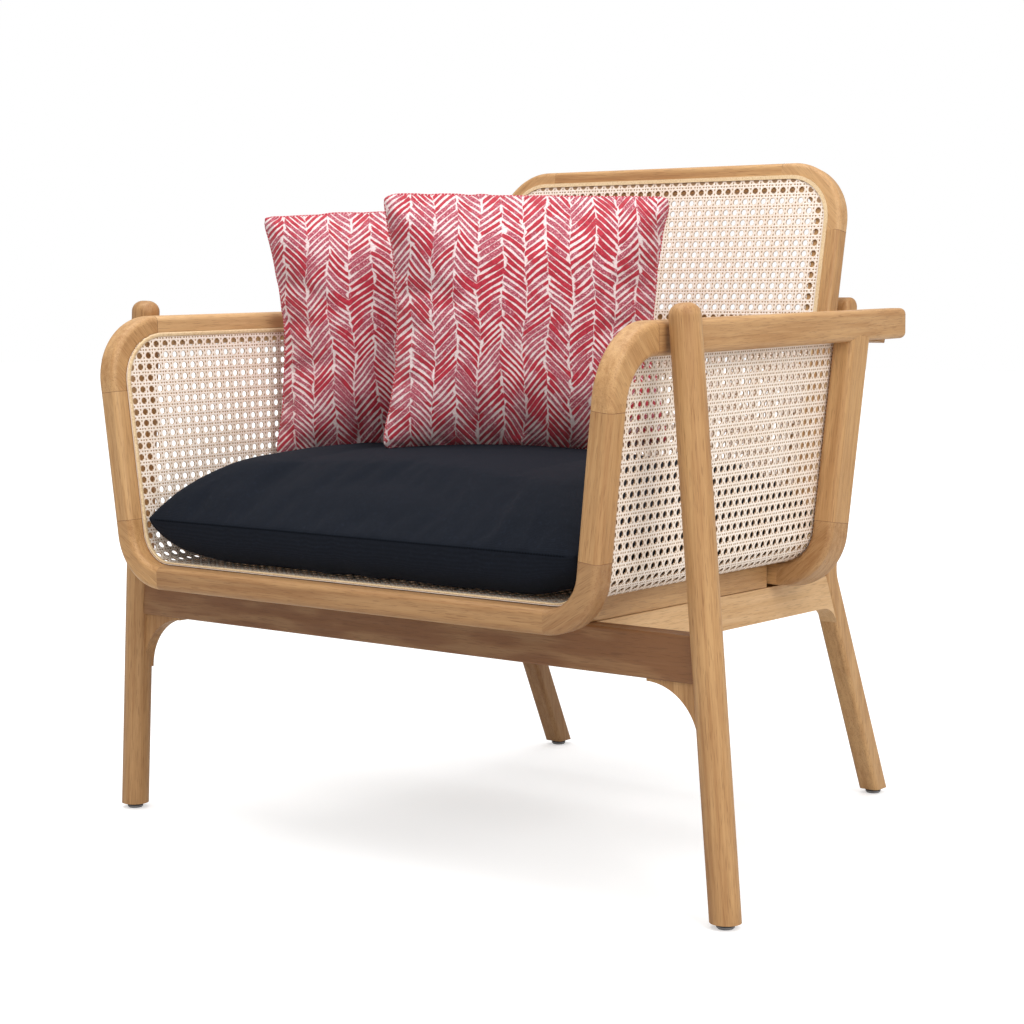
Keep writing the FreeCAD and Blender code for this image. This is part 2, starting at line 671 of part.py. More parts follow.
back_face_out = v.back_thick / 2
rebate = panel("rebate", 0, 0, back_face_out + v.overrun, v.overrun + v.rebate_deep,
               rebate_curve)
level_block = doc.addObject("Part::Box", "level_block")
bind(level_block, "Length", "back_half * 4")
bind(level_block, "Width", "back_half * 2")
bind(level_block, "Height", "overrun * 2")
level_block.Placement = Placement(
    Vector(-2 * v.back_half, back_set - v.back_half, v.seat_level - 2 * v.overrun),
    Rotation())

back_joint_half = v.back_half - v.back_corner_outer - v.back_joint_run
top_rail = bar("back_top_blank", back.at(-back_joint_half, top_line), ACROSS, back.up,
               "2 * ( back_half - back_corner_outer - back_joint_run )", "back_wide",
               "back_thick", "back_round")
keep(cut("back_top_rail", top_rail, rebate), "back_top_rail")
back_upright = bar("back_upright_blank", back.at(back_line, -v.overrun), back.up, ACROSS,
                   joint_low + v.overrun, "back_wide", "back_thick", "back_round")
both("back_upright", cut("back_upright_right", cut("back_level", back_upright, level_block),
                         rebate))
bottom_rail = bar("back_bottom_blank",
                  back.at(-(v.back_half - v.back_wide), v.back_rail_lift + v.back_rail_wide / 2),
                  ACROSS, back.up, "2 * ( back_half - back_wide )",
                  "back_rail_wide", "back_thick", "apron_round")
keep(cut("back_bottom_rail", bottom_rail, rebate), "back_bottom_rail")

body = doc.addObject("PartDesign::Body", "back_corner_blank")
path = body.newObject("Sketcher::SketchObject", "back_corner_path")
path.AttachmentSupport = [(origin_plane(body, "XY_Plane"), "")]
path.MapMode = "FlatFace"
arc_x = back_line - turn_line
arc_y = top_line - turn_line
spread = math.cos(diagonal) * turn_line
path.addGeometry(Part.LineSegment(Vector(back_joint_half, top_line, 0),
                                  Vector(arc_x, top_line, 0)), False)
path.addGeometry(Part.Arc(Vector(arc_x, top_line, 0), Vector(arc_x + spread, arc_y + spread, 0),
                          Vector(back_line, arc_y, 0)), False)
path.addGeometry(Part.LineSegment(Vector(back_line, arc_y, 0),
                                  Vector(back_line, joint_low, 0)), False)
profile = section(body, "back_corner_section", "YZ_Plane", "back_wide", "back_thick",
                  "back_round")
profile.AttachmentOffset = Placement(Vector(top_line, 0, back_joint_half), Rotation())
pipe = body.newObject("PartDesign::AdditivePipe", "back_corner_pipe")
pipe.Profile = profile
pipe.Spine = (path, ["Edge1", "Edge2", "Edge3"])
body.Placement = back.placement()
doc.recompute()
both("back_corner", cut("back_corner_right", body, rebate))

# Cross rail at arm level behind the back, between the arms.
cross_u = (v.cross_high - v.seat_level) / back.up.z - v.cross_tall / 2
cross_mid = back.at(0, cross_u, -(v.back_thick / 2 + v.cross_thick / 2))
arm_there = arm_point(cross_mid.y)
cross_half = arm_there.x - v.hoop_wide / 2 / arm_across.x
cross_half -= abs(arm_way.x / arm_way.y) * v.cross_thick + v.wood_fit
cross = bar("arm_cross_rail", cross_mid - ACROSS * cross_half, ACROSS, back.up,
            2 * cross_half, "cross_tall", "cross_thick", "apron_round")
keep(cross, "arm_cross_rail")

# Cane panel of the back in its rebate, with a spline all round.
sunk = back_face_out - v.rebate_deep + v.cane_thick + v.wood_fit
keep(panel("back_cane", v.bead_wide, v.bead_wide, sunk, v.cane_thick, rebate_curve),
     "back_cane")
bead_deep = v.cane_thick + v.bead_proud
bead_face = sunk + v.bead_proud
bead_outer = panel("bead_outer", v.wood_fit, v.wood_fit, bead_face, bead_deep, rebate_curve)
bead_inner = panel("bead_inner", v.bead_wide - v.wood_fit, v.bead_wide - v.wood_fit,
                   bead_face + v.overrun, bead_deep + 2 * v.overrun, rebate_curve)
keep(cut("back_spline", bead_outer, bead_inner), "back_spline")


def arm_inside(y):
    # Half distance between the arms' inner faces.
    return arm_point(y).x - v.hoop_wide / 2 / arm_across.x


def band_wire(plane, half, flare, forward, inset, thick):
    # U-shaped band inside a hoop, in a plane parallel to it.
    t = math.tan(math.radians(flare))
    base = v.hoop_wide / 2
    slant = 1 / math.cos(math.radians(flare))
    arm_y = plane.at(0, v.upper_joint, forward).y
    arm_top = arm_point(arm_y).z + arm_half_tall - v.cane_top_drop
    top = (arm_top - plane.at(0, 0, forward).z) / plane.up.z

    def side(u, off):
        return half + (u - v.lower_joint) * t - (base + off) * slant

    pts = []
    for off in (inset, inset + thick):
        low = base + off
        high = min(side(top, off), arm_inside(plane.at(0, top, forward).y) - off)
        pts.append([(-high, top), (-side(low, off), low),
                    (side(low, off), low), (high, top)])
    outer = [plane.at(x, u, forward) for x, u in pts[0]]
    inner = [plane.at(x, u, forward) for x, u in reversed(pts[1])]
    r_out = v.corner_inner - inset
    r_in = v.corner_inner - inset - thick
    return rounded_wire(outer + inner, (0, r_out, r_out, 0, 0, r_in, r_in, 0))


def band(label, ends, inset, thick):
    made = doc.addObject("Part::Feature", label)
    wires = [band_wire(*end, inset, thick) for end in ends]
    made.Shape = Part.makeLoft(wires, True, True)
    return keep(made, label)


front_face = v.front_hoop_deep / 2
rear_face = v.rear_hoop_deep / 2
front_edge = front_face - v.cane_front_inset
rear_edge = rear_face - v.cane_rear_inset
front_end = (front, front_line, v.front_flare)
rear_end = (rear, rear_line, rear_flare)
band("cane_bucket", [front_end + (front_edge,), rear_end + (rear_edge,)],
     v.cane_gap, v.cane_thick)
bead_tall = v.cane_thick + v.bead_proud
band("front_spline", [front_end + (front_edge + v.bead_wide + v.wood_fit,),
                      front_end + (front_edge + v.wood_fit,)], v.cane_gap, bead_tall)
band("rear_spline", [rear_end + (rear_edge - v.wood_fit,),
                     rear_end + (rear_edge - v.wood_fit - v.bead_wide,)],
     v.cane_gap, bead_tall)

# Arm splines along the cane's top edge.
def spline_point(end, u_extra):
    plane, half, flare, forward = end
    arm_y = plane.at(0, v.upper_joint, forward).y
    top = (arm_point(arm_y).z + arm_half_tall - v.cane_top_drop
           - plane.at(0, 0, forward).z) / plane.up.z + u_extra
    slant = 1 / math.cos(math.radians(flare))
    x = half + (top - v.lower_joint) * math.tan(math.radians(flare))
    x -= (v.hoop_wide / 2 + v.cane_gap) * slant
    x = min(x, arm_inside(plane.at(0, top, forward).y) - v.cane_gap)
    return plane.at(x, top, forward)


ends = []
for end in (front_end + (front_edge,), rear_end + (rear_edge,)):
    low = spline_point(end, v.wood_fit)
    high = spline_point(end, v.wood_fit + v.bead_wide)
    inward = ACROSS * -bead_tall
    high = Vector(min(low.x, high.x), high.y, high.z)
    ends.append(Part.makePolygon([low, high, high + inward, low + inward, low]))
arm_spline = doc.addObject("Part::Feature", "arm_spline_right")
arm_spline.Shape = Part.makeLoft(ends, True, True)
both("arm_spline", arm_spline)


def arch(half, rise, slope):
    # Three-centred arch: shoulder radius, crown radius and its angles.
    a = math.radians(slope)
    c = CROWN_SHARE * math.atan2(rise, half)
    m11, m12 = math.sin(c), math.sin(a) - math.sin(c)
    m21, m22 = 1 - math.cos(c), math.cos(c) - math.cos(a)
    det = m11 * m22 - m12 * m21
    crown = (half * m22 - m12 * rise) / det
    shoulder = (m11 * rise - m21 * half) / det
    return shoulder, crown, a, c


def arch_at(half, rise, slope, x):
    # Height of the arch over its springing at distance x from the middle.
    shoulder, crown, a, c = arch(half, rise, slope)
    if abs(x) <= crown * math.sin(c):
        return math.sqrt(crown ** 2 - x ** 2) - crown + rise
    centre = half - shoulder * math.sin(a)
    drop = min(abs(x) - centre, shoulder)
    return math.sqrt(shoulder ** 2 - drop ** 2) - shoulder * math.cos(a)


def arch_edges(half, base, rise, slope, place):
    # Left shoulder, crown and right shoulder as three arcs.
    shoulder, crown, a, c = arch(half, abs(rise), slope)
    way = 1 if rise > 0 else -1

    def on_crown(angle):
        return (crown * math.sin(angle), abs(rise) - crown * (1 - math.cos(angle)))

    def on_shoulder(angle):
        cx = half - shoulder * math.sin(a)
        cz = -shoulder * math.cos(a)
        return (cx + shoulder * math.sin(angle), cz + shoulder * math.cos(angle))

    p0, p1, p2 = on_shoulder(a), on_shoulder((a + c) / 2), on_shoulder(c)
    q1 = on_crown(0)

    def spot(p, side):
        return place(side * p[0], base + way * p[1])

    return [Part.Arc(spot(p0, -1), spot(p1, -1), spot(p2, -1)).toShape(),
            Part.Arc(spot(p2, -1), spot(q1, 1), spot(p2, 1)).toShape(),
            Part.Arc(spot(p2, 1), spot(p1, 1), spot(p0, 1)).toShape()]


def cushion_solid(length, half_at, upper, lower, place_at):
    # Loft through sections; rises follow the same arch along the other way.
    wires = []
    for share in STATION_SHARES:
        run = (share - 0.5) * length
        rises = []
        for rise, slope in (upper, lower):
            tall = arch_at(length / 2, rise - v.seam_thick / 2, slope, run)
            rises.append(max(tall, 0) + v.seam_thick / 2)
        half = half_at(share)

        def place(x, z, along=run):
            return place_at(x, along, z)

        over = arch_edges(half, 0, rises[0], upper[1], place)
        under = arch_edges(half, 0, -rises[1], lower[1], place)
        wires.append(Part.Wire(over + [e.reversed() for e in reversed(under)]))
    return Part.makeLoft(wires, True, False)


def settle(piece, resting_on):
    # Lower a piece until it lies the soft gap above what carries it.
    start = piece.Placement

    def gap_at(drop):
        piece.Placement = Placement(Vector(0, 0, -drop), Rotation()).multiply(start)
        return min(piece.Shape.distToShape(other.Shape)[0] for other in resting_on)

    drop = 0
    gap = gap_at(drop)
    rate = 1
    blocked = None
    for _ in range(30):
        if gap < v.soft_gap * 1.2:
            break
        ahead = drop + (gap - v.soft_gap) / rate
        if blocked is not None:
            ahead = min(ahead, (drop + blocked) / 2)
        found = gap_at(ahead)
        if found < v.soft_gap * 0.95:
            blocked = ahead
            continue
        rate = max((gap - found) / (ahead - drop), 0.05)
        drop = ahead
        gap = found
    gap_at(drop)
    return gap


skin_inset = v.hoop_wide + v.cane_gap + v.cane_thick
seat_front_half = v.front_half - skin_inset - v.seat_front_gap
seat_rear_half = v.rear_half - skin_inset - v.seat_rear_gap
seat_rear_set = rear_set + v.seat_rear_past
seat = doc.addObject("Part::Feature", "seat_cushion")
seat.Shape = cushion_solid(
    seat_rear_set - v.seat_front_set,
    lambda share: seat_front_half + (seat_rear_half - seat_front_half) * share
    + v.seat_corner_out * abs(2 * share - 1) ** 3,
    (v.seat_crown, SEAM_SLOPE), (v.seat_under, UNDER_SLOPE),
    lambda x, along, z: Vector(x, along, z))
seat.Placement = Placement(
    Vector(0, (seat_rear_set + v.seat_front_set) / 2, v.seat_level + 3 * v.overrun),
    Rotation())
gap = settle(seat, [parts["cane_bucket"], parts["front_spline"], parts["rear_spline"]])
print("seat_cushion rests %.2f mm over the cane, seam at %.1f mm" % (gap, seat.Placement.Base.z))
keep(seat, "seat_cushion")


def pillow(label, side, setback, roll):
    made = doc.addObject("Part::Feature", label)
    made.Shape = cushion_solid(
        v.pillow_tall,
        lambda share: v.pillow_wide / 2 - v.pillow_drawn * (1 - (2 * share - 1) ** 2),
        (v.pillow_thick / 2, SEAM_SLOPE), (v.pillow_thick / 2, SEAM_SLOPE),
        lambda x, along, z: Vector(x, along + v.pillow_tall / 2, z))
    yaw = math.radians(v.pillow_yaw)
    lean = math.radians(v.pillow_lean)
    across = Vector(math.cos(yaw), math.sin(yaw), 0)
    up = Vector(-math.sin(lean) * math.sin(yaw), math.sin(lean) * math.cos(yaw),
                math.cos(lean))
    turn = Rotation(across, up, across.cross(up), "ZXY")
    turn = turn.multiply(Rotation(Vector(0, 0, 1), roll))
    start = seat.Placement.Base.z + v.seat_crown + v.overrun
    made.Placement = Placement(Vector(side, setback, start), turn)
    gap = settle(made, [seat])
    print("%s rests %.2f mm over the seat cushion" % (label, gap))
    return keep(made, label)


left_pillow = pillow("left_pillow", v.left_pillow_side, v.left_pillow_set,
                     v.left_pillow_roll)
right_pillow = pillow("right_pillow", v.right_pillow_side, v.right_pillow_set,
                      v.right_pillow_roll)

# Origin on the floor under the middle of the whole chair.

doc.recompute()
box = FreeCAD.BoundBox()
for obj in parts.values():
    box.add(obj.Shape.BoundBox)
shift = Placement(Vector(0, -(box.YMin + box.YMax) / 2, 0), Rotation())
for obj in parts.values():
    if obj.TypeId != "Part::Mirroring":
        obj.Placement = shift.multiply(obj.Placement)
doc.recompute()
print("origin lies %.3f mm behind the front feet" % -shift.Base.y)

for obj in doc.Objects:
    if "Invalid" in obj.State or "Error" in obj.State:
        raise RuntimeError("%s failed: %s" % (obj.Label, obj.State))
for label, obj in parts.items():
    shape = obj.Shape
    if shape.isNull() or not shape.isValid() or len(shape.Solids) != 1:
        raise RuntimeError("%s is not one valid solid" % label)

os.makedirs("parts", exist_ok=True)
for label, obj in parts.items():
    obj.Shape.exportStep("parts/%s.step" % label)
print("%d pieces written" % len(parts))
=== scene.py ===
import math

import bmesh
import bpy
import numpy as np
from bpy.props import FloatProperty, FloatVectorProperty, IntProperty, PointerProperty
from mathutils import Matrix, Vector
from mathutils.bvhtree import BVHTree


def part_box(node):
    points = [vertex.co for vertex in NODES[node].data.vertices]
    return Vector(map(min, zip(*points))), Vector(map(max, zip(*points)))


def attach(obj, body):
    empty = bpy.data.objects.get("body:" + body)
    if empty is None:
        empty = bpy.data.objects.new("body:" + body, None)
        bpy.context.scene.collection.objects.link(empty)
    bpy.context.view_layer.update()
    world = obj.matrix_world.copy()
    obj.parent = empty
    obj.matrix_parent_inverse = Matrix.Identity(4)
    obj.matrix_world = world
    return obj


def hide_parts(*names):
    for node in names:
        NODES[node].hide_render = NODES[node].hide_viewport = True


# Looks of a low cane armchair: oiled wood, woven cane with open holes, a dark
# seat cushion and two woven pillows. Metres, the same frame as the solids.

bl_info = {
    "name": "Cane armchair looks",
    "version": (1, 0, 0),
    "blender": (4, 5, 0),
    "location": "View3D > Sidebar > Chair",
    "description": "Dresses the packed armchair: wood, cane, cushions and stage",
    "category": "Object",
}

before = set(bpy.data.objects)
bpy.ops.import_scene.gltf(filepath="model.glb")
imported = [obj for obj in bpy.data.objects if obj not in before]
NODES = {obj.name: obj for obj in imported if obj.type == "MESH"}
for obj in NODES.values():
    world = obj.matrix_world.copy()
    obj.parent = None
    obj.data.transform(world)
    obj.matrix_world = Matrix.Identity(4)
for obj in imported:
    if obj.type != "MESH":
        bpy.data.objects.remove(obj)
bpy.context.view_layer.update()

MM = 0.001
ORIGIN_BACK = 262.07
SEAT_LEVEL = 285.0
ACROSS = Vector((1, 0, 0))


# Places shared with the solids, in millimetres behind the front feet.

class Plane:
    # A leaning plane: x across the chair, u up its slope, forward to the front.
    def __init__(self, setback, level, lean):
        a = math.radians(lean)
        self.origin = Vector((0, setback - ORIGIN_BACK, level))
        self.up = Vector((0, math.sin(a), math.cos(a)))
        self.front = Vector((0, -math.cos(a), math.sin(a)))

    def at(self, x, u, forward=0.0):
        return (self.origin + ACROSS * x + self.up * u + self.front * forward) * MM


FRONT = Plane(-84, 298.2, -1.45)
REAR = Plane(360, 299.717, 7.24)
BACK = Plane(419, SEAT_LEVEL, 11.6)
LOWER_JOINT = 62.0
UPPER_JOINT = 206.0
FRONT_FLARE = 6.7
REAR_FLARE = 2.185
FRONT_LINE = 323.0
REAR_LINE = 320.0
HOOP_WIDE = 26.0
FRONT_HOOP_DEEP = 30.0
REAR_HOOP_DEEP = 42.0
HOOP_CURVE = 7.0
CORNER_INNER = 39.0
ARM_TALL = 34.5
ARM_START = Vector((345.31, -32.18 - ORIGIN_BACK, 571.73))
ARM_END = Vector((323.0, 507.0 - ORIGIN_BACK, 580.75))
BACK_JOINT_HALF = 168.0
BACK_JOINT_LOW = 410.05
BACK_LINE = 236.75
BACK_TOP_LINE = 474.8
BACK_SECTION = (34.5, 23.0, 6.0)
BACK_REBATE = (9.0, -3.5)


# Mesh helpers.

def new_object(name, verts, faces, body, material, smooth=True):
    mesh = bpy.data.meshes.new(name)
    mesh.from_pydata([tuple(p) for p in verts], [], [tuple(f) for f in faces])
    mesh.validate()
    mesh.update()
    mesh.materials.append(material)
    obj = bpy.data.objects.new(name, mesh)
    bpy.context.scene.collection.objects.link(obj)
    if smooth:
        mesh.polygons.foreach_set("use_smooth", [True] * len(mesh.polygons))
    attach(obj, body)
    return obj


def dress(node, material):
    NODES[node].data.materials.clear()
    NODES[node].data.materials.append(material)


def store_uv(obj, values):
    # One pair of numbers for each vertex, kept as the mesh's UV map.
    layer = obj.data.uv_layers.new(name="weave")
    index = np.zeros(len(obj.data.loops), np.int32)
    obj.data.loops.foreach_get("vertex_index", index)
    layer.data.foreach_set("uv", np.asarray(values, np.float32)[index].ravel())


def ring_faces(rings, around, closed):
    # Quads between rings of points, with a cap at both ends unless they close up.
    faces = []
    for i in range(rings if closed else rings - 1):
        a, b = i * around, (i + 1) % rings * around
        for k in range(around):
            n = (k + 1) % around
            faces.append((a + k, a + n, b + n, b + k))
    if not closed:
        faces.append(tuple(reversed(range(around))))
        faces.append(tuple(range((rings - 1) * around, rings * around)))
    return faces


def tube(name, points, radius, body, material, sides=8):
    # Closed round cord, with UV: metres along it and turns round it.
    verts, uvs = [], []
    run = 0.0
    normal = None
    for i, here in enumerate(points):
        way = (points[(i + 1) % len(points)] - points[i - 1]).normalized()
        if normal is None:
            normal = way.orthogonal().normalized()
        normal = (normal - way * normal.dot(way)).normalized()
        side = way.cross(normal)
        if i:
            run += (here - points[i - 1]).length
        for k in range(sides):
            a = 2 * math.pi * k / sides
            verts.append(here + (normal * math.cos(a) + side * math.sin(a)) * radius)
            uvs.append((run, k / sides))
    obj = new_object(name, verts, ring_faces(len(points), sides, True), body, material)
    store_uv(obj, uvs)
    return obj


# Material helpers.

class Net:
    # Short words for building a node tree.
    def __init__(self, tree):
        self.tree = tree

    def put(self, socket, value):
        # Links a socket, or sets its value with a colour's alpha filled in.
        if isinstance(value, bpy.types.NodeSocket):
            self.tree.links.new(value, socket)
        elif value is not None:
            socket.default_value = (*value[:3], 1) if socket.type == "RGBA" else value

    def add(self, kind, inputs=None, **settings):
        node = self.tree.nodes.new("ShaderNode" + kind)
        for key, value in settings.items():
            setattr(node, key, value)
        for key, value in (inputs or {}).items():
            self.put(node.inputs[key], value)
        return node

    def math(self, operation, *values, clamp=False):
        node = self.add("Math", dict(enumerate(values)), operation=operation,
                        use_clamp=clamp)
        return node.outputs[0]

    def times(self, a, b):
        return self.math("MULTIPLY", a, b)

    def plus(self, a, b):
        return self.math("ADD", a, b)

    def minus(self, a, b):
        return self.math("SUBTRACT", a, b)

    def times_plus(self, a, b, c):
        return self.math("MULTIPLY_ADD", a, b, c)

    def off_middle(self, value):
        # 0 where the value's fraction is a half, and 0.5 at whole numbers.
        return self.math("ABSOLUTE", self.minus(self.math("FRACT", value), 0.5))

    def place(self):
        return self.add("TexCoord").outputs["Object"]

    def uv(self):
        return self.add("UVMap", uv_map="weave").outputs[0]

    def parts(self, vector):
        return self.add("SeparateXYZ", {0: vector}).outputs

    def scaled(self, vector, factors):
        return self.add("VectorMath", {0: vector, 1: factors},
                        operation="MULTIPLY").outputs[0]

    def ramp(self, factor, *stops):
        node = self.add("ValToRGB", {0: factor})
        elements = node.color_ramp.elements
        while len(elements) < len(stops):
            elements.new(0.5)
        for element, (place, colour) in zip(elements, stops):
            element.position = place
            element.color = (*colour, 1)
        return node.outputs[0]

    def mix(self, factor, a, b, blend="MIX"):
        return self.add("Mix", {0: factor, 6: a, 7: b}, data_type="RGBA",
                        blend_type=blend).outputs[2]

    def noise(self, vector, scale, detail=3.0, rough=0.5, distortion=0.0, output=0):
        return self.add("TexNoise", {"Vector": vector, "Scale": scale, "Detail": detail,
                                     "Roughness": rough,
                                     "Distortion": distortion}).outputs[output]

    def wave(self, vector, way, scale, distortion=0.0, detail=2.0, detail_scale=1.0):
        return self.add("TexWave", {"Vector": vector, "Scale": scale,
                                    "Distortion": distortion, "Detail": detail,
                                    "Detail Scale": detail_scale},
                        wave_type="BANDS", bands_direction=way).outputs[1]

    def step(self, value, low, high, to_low=0.0, to_high=1.0):
        return self.add("MapRange", {"Value": value, "From Min": low, "From Max": high,
                                     "To Min": to_low, "To Max": to_high},
                        interpolation_type="SMOOTHSTEP").outputs[0]

    def finish(self, colour, rough, relief=None, **constants):
        # Sockets of the material's own shader; relief is height, distance, strength.
        shader = self.tree.nodes["Principled BSDF"].inputs
        self.put(shader["Base Color"], colour)
        self.put(shader["Roughness"], rough)
        for key, value in constants.items():
            self.put(shader[key.replace("_", " ")], value)
        if relief:
            height, distance, strength = relief
            node = self.add("Bump", {"Strength": strength, "Distance": distance,
                                     "Height": height})
            self.put(shader["Normal"], node.outputs[0])


def new_material(name):
    material = bpy.data.materials.new(name)
    material.use_nodes = True
    return material, Net(material.node_tree)


def node_group(name, inputs, outputs):
    # Empty shader group with its net, what it is given and what it puts out.
    group = bpy.data.node_groups.new(name, "ShaderNodeTree")
    for label, kind, value in inputs:
        socket = group.interface.new_socket(label, in_out="INPUT",
                                            socket_type="NodeSocket" + kind)
        if value is not None:
            socket.default_value = value
    for label, kind in outputs:
        group.interface.new_socket(label, in_out="OUTPUT", socket_type="NodeSocket" + kind)
    given = group.nodes.new("NodeGroupInput").outputs
    return group, Net(group), given, group.nodes.new("NodeGroupOutput").inputs


def rgb(red, green, blue):
    # A colour read as 0 to 255 in a picture, as the linear light that shaders use.
    values = []
    for c in (red, green, blue):
        c = c / 255
        values.append(c / 12.92 if c <= 0.04045 else ((c + 0.055) / 1.055) ** 2.4)
    return tuple(values)


def colour_value(name, description, default):
    return FloatVectorProperty(name=name, description=description, size=3,
                               subtype="COLOR", default=default)


def number_value(name, description, default, low, high, unit="NONE"):
    return FloatProperty(name=name, description=description, default=default, min=low,
                         max=high, unit=unit)


def length_value(name, description, default, low, high):
    return number_value(name, description, default, low, high, "LENGTH")


# Wood.

def wood_group():
    group, net, given, out = node_group(
        "WoodGrain",
        [("Vector", "Vector", None), ("Light", "Color", (1, 1, 1, 1)),
         ("Dark", "Color", (0, 0, 0, 1)), ("Figure", "Float", 0.3)],
        [("Color", "Color"), ("Roughness", "Float"), ("Height", "Float")])

    def drawn(along, across):
        # Grain runs along the local X, so what varies along it is drawn out.
        return net.scaled(given["Vector"], (along, across, across))

    broad = net.noise(drawn(3, 26), 1, 2, 0.5)
    streak = net.noise(drawn(7, 150), 1, 3, 0.6, 0.2)
    fine = net.noise(drawn(14, 520), 1, 2, 0.6)
    pores = net.noise(drawn(55, 1250), 1, 1, 0.5)
    rings = net.wave(drawn(0.22, 1), "Y", 42, 11, 2, 0.6)
    tone = net.times_plus(broad, 0.5, net.times(streak, 0.5))
    tone = net.times_plus(fine, 0.3, tone)
    swirl = net.times(rings, given["Figure"])
    tone = net.minus(tone, net.times(swirl, 0.45))
    colour = net.mix(net.step(tone, 0.32, 0.86), given["Dark"], given["Light"])
    deep = net.mix(1.0, given["Dark"], (0.55, 0.5, 0.45), "MULTIPLY")
    pore = net.step(pores, 0.33, 0.43)
    net.put(out["Color"], net.mix(pore, net.mix(0.38, colour, deep), colour))
    net.put(out["Roughness"], net.step(streak, 0.3, 0.7, 0.55, 0.42))
    net.put(out["Height"], net.times_plus(pore, 0.6, net.times(fine, 0.5)))
    return group


def wood_material(name, group, direction, light, dark, figure, seed):
    material, net = new_material(name)
    x = Vector(direction).normalized()
    away = Vector((0, 0, 1)) if abs(x.z) < 0.9 else Vector((0, 1, 0))
    y = away.cross(x).normalized()
    turn = Matrix((x, y, x.cross(y))).to_euler("XYZ")
    shift = (seed * 0.731, seed * 1.313, seed * 0.517)
    local = net.add("Mapping", {"Vector": net.place(), "Rotation": turn, "Location": shift})
    grain = net.add("Group", {"Vector": local.outputs[0], "Light": light, "Dark": dark,
                              "Figure": figure}, node_tree=group).outputs
    net.finish(grain["Color"], grain["Roughness"], (grain["Height"], 0.00025, 0.5),
               Specular_IOR_Level=0.35)
    return material


WOOD_PIECES = {
    # node stem: grain direction on the right side, tones right and left, figure. Besides the
    # wood's own tone, the tones hold painted light and shade: the left rear leg and left
    # front post are darkened for the chair's shadow, and the left arm rail and right side
    # apron are lightened for the light that falls on them.
    "front_post": ((-0.07, -0.02, 1), -0.04, -0.16, 0.12),
    "rear_leg": ((0, -0.12, 1), 0.08, -0.42, 0.12),
    "side_apron": ((0, 1, 0), 0.8, 0.1, 0.05),
    "side_rail": ((0, 1, 0), 0.1, -0.1, 0.05),
    "front_apron": ((1, 0, 0), -0.6, None, 0.8),
    "rear_apron": ((1, 0, 0), -0.3, None, 0.2),
    "front_rail": ((1, 0, 0), -0.3, None, 0.15),
    "front_corner": ((1, 0, 0.6), -0.4, 0.0, 0.15),
    "front_upright": ((0.12, 0, 1), -0.1, 0.2, 0.1),
    "arm_corner": ((0, -1, 1.1), 0.1, 0.15, 0.1),
    "arm_rail": ((-0.04, 1, 0.02), 0.15, 0.7, 0.08),
    "rear_rail": ((1, 0, 0), 0.0, None, 0.1),
    "rear_corner": ((1, 0, 0.9), -0.15, -0.05, 0.1),
    "rear_upright": ((0.04, 0.12, 1), 0.0, 0.0, 0.1),
    "back_corner": ((1, -0.2, -0.9), 0.3, 0.15, 0.1),
    "back_upright": ((0, 0.2, 1), 0.1, -0.06, 0.1),
    "back_top_rail": ((1, 0, 0), 0.0, None, 0.12),
    "back_bottom_rail": ((1, 0, 0), -0.1, None, 0.1),
    "arm_cross_rail": ((1, 0, 0), -0.1, None, 0.08),
}
LEFT_SEED = 0.37


class ChairWoodSettings(bpy.types.PropertyGroup):
    light: colour_value("Light wood", "Colour of the early wood", rgb(198, 155, 104))
    dark: colour_value("Dark wood", "Colour of the late wood", rgb(156, 109, 64))
    # The apron colour also darkens every piece whose tone is below nought, painted shade
    # among them.
    apron: colour_value("Front apron", "Colour of the darker front apron",
                        rgb(100, 62, 40))
    # Pieces whose tone is above nought lean to this pale colour: sapwood, and also painted
    # light on the lit pieces.
    sapwood_and_painted_light: colour_value("Sapwood", "Colour that the palest lengths lean to",
                          rgb(222, 184, 138))


def blended(a, b, share):
    return tuple(x + (y - x) * share for x, y in zip(a, b))


class CHAIR_OT_wood(bpy.types.Operator):
    """Gives every wooden piece its own grain, along its length"""
    bl_idname = "chair.wood"
    bl_label = "Wood"

    def execute(self, context):
        wood = context.scene.chair_wood
        group = wood_group()
        for seed, (stem, (way, right, left, figure)) in enumerate(WOOD_PIECES.items(), 1):
            sides = [("", right, 1, 0)]
            if left is not None:
                sides = [("_right", right, 1, 0), ("_left", left, -1, LEFT_SEED)]
            for label, tone, mirror, more in sides:
                # Each piece lightens towards the pale colour or darkens towards the apron
                # colour: partly the wood's own tone, partly painted light and shade.
                pale = tone > 0
                light = blended(wood.light, wood.sapwood_and_painted_light if pale else wood.apron, abs(tone))
                dark = blended(wood.dark, wood.light if pale else wood.apron, abs(tone))
                direction = (way[0] * mirror, way[1], way[2])
                dress(stem + label, wood_material("wood_" + stem + label, group, direction,
                                                  light, dark, figure, seed + more))
        glue = glue_line_material()
        for joint in joint_places():
            ring = joint_ring(glue, *joint)
        return {"FINISHED"}


def glue_line_material():
    material, net = new_material("wood_joint_line")
    patch = net.noise(net.place(), 160, 2)
    net.finish(net.ramp(patch, (0.35, rgb(104, 66, 38)), (0.65, rgb(142, 98, 60))), 0.6)
    return material


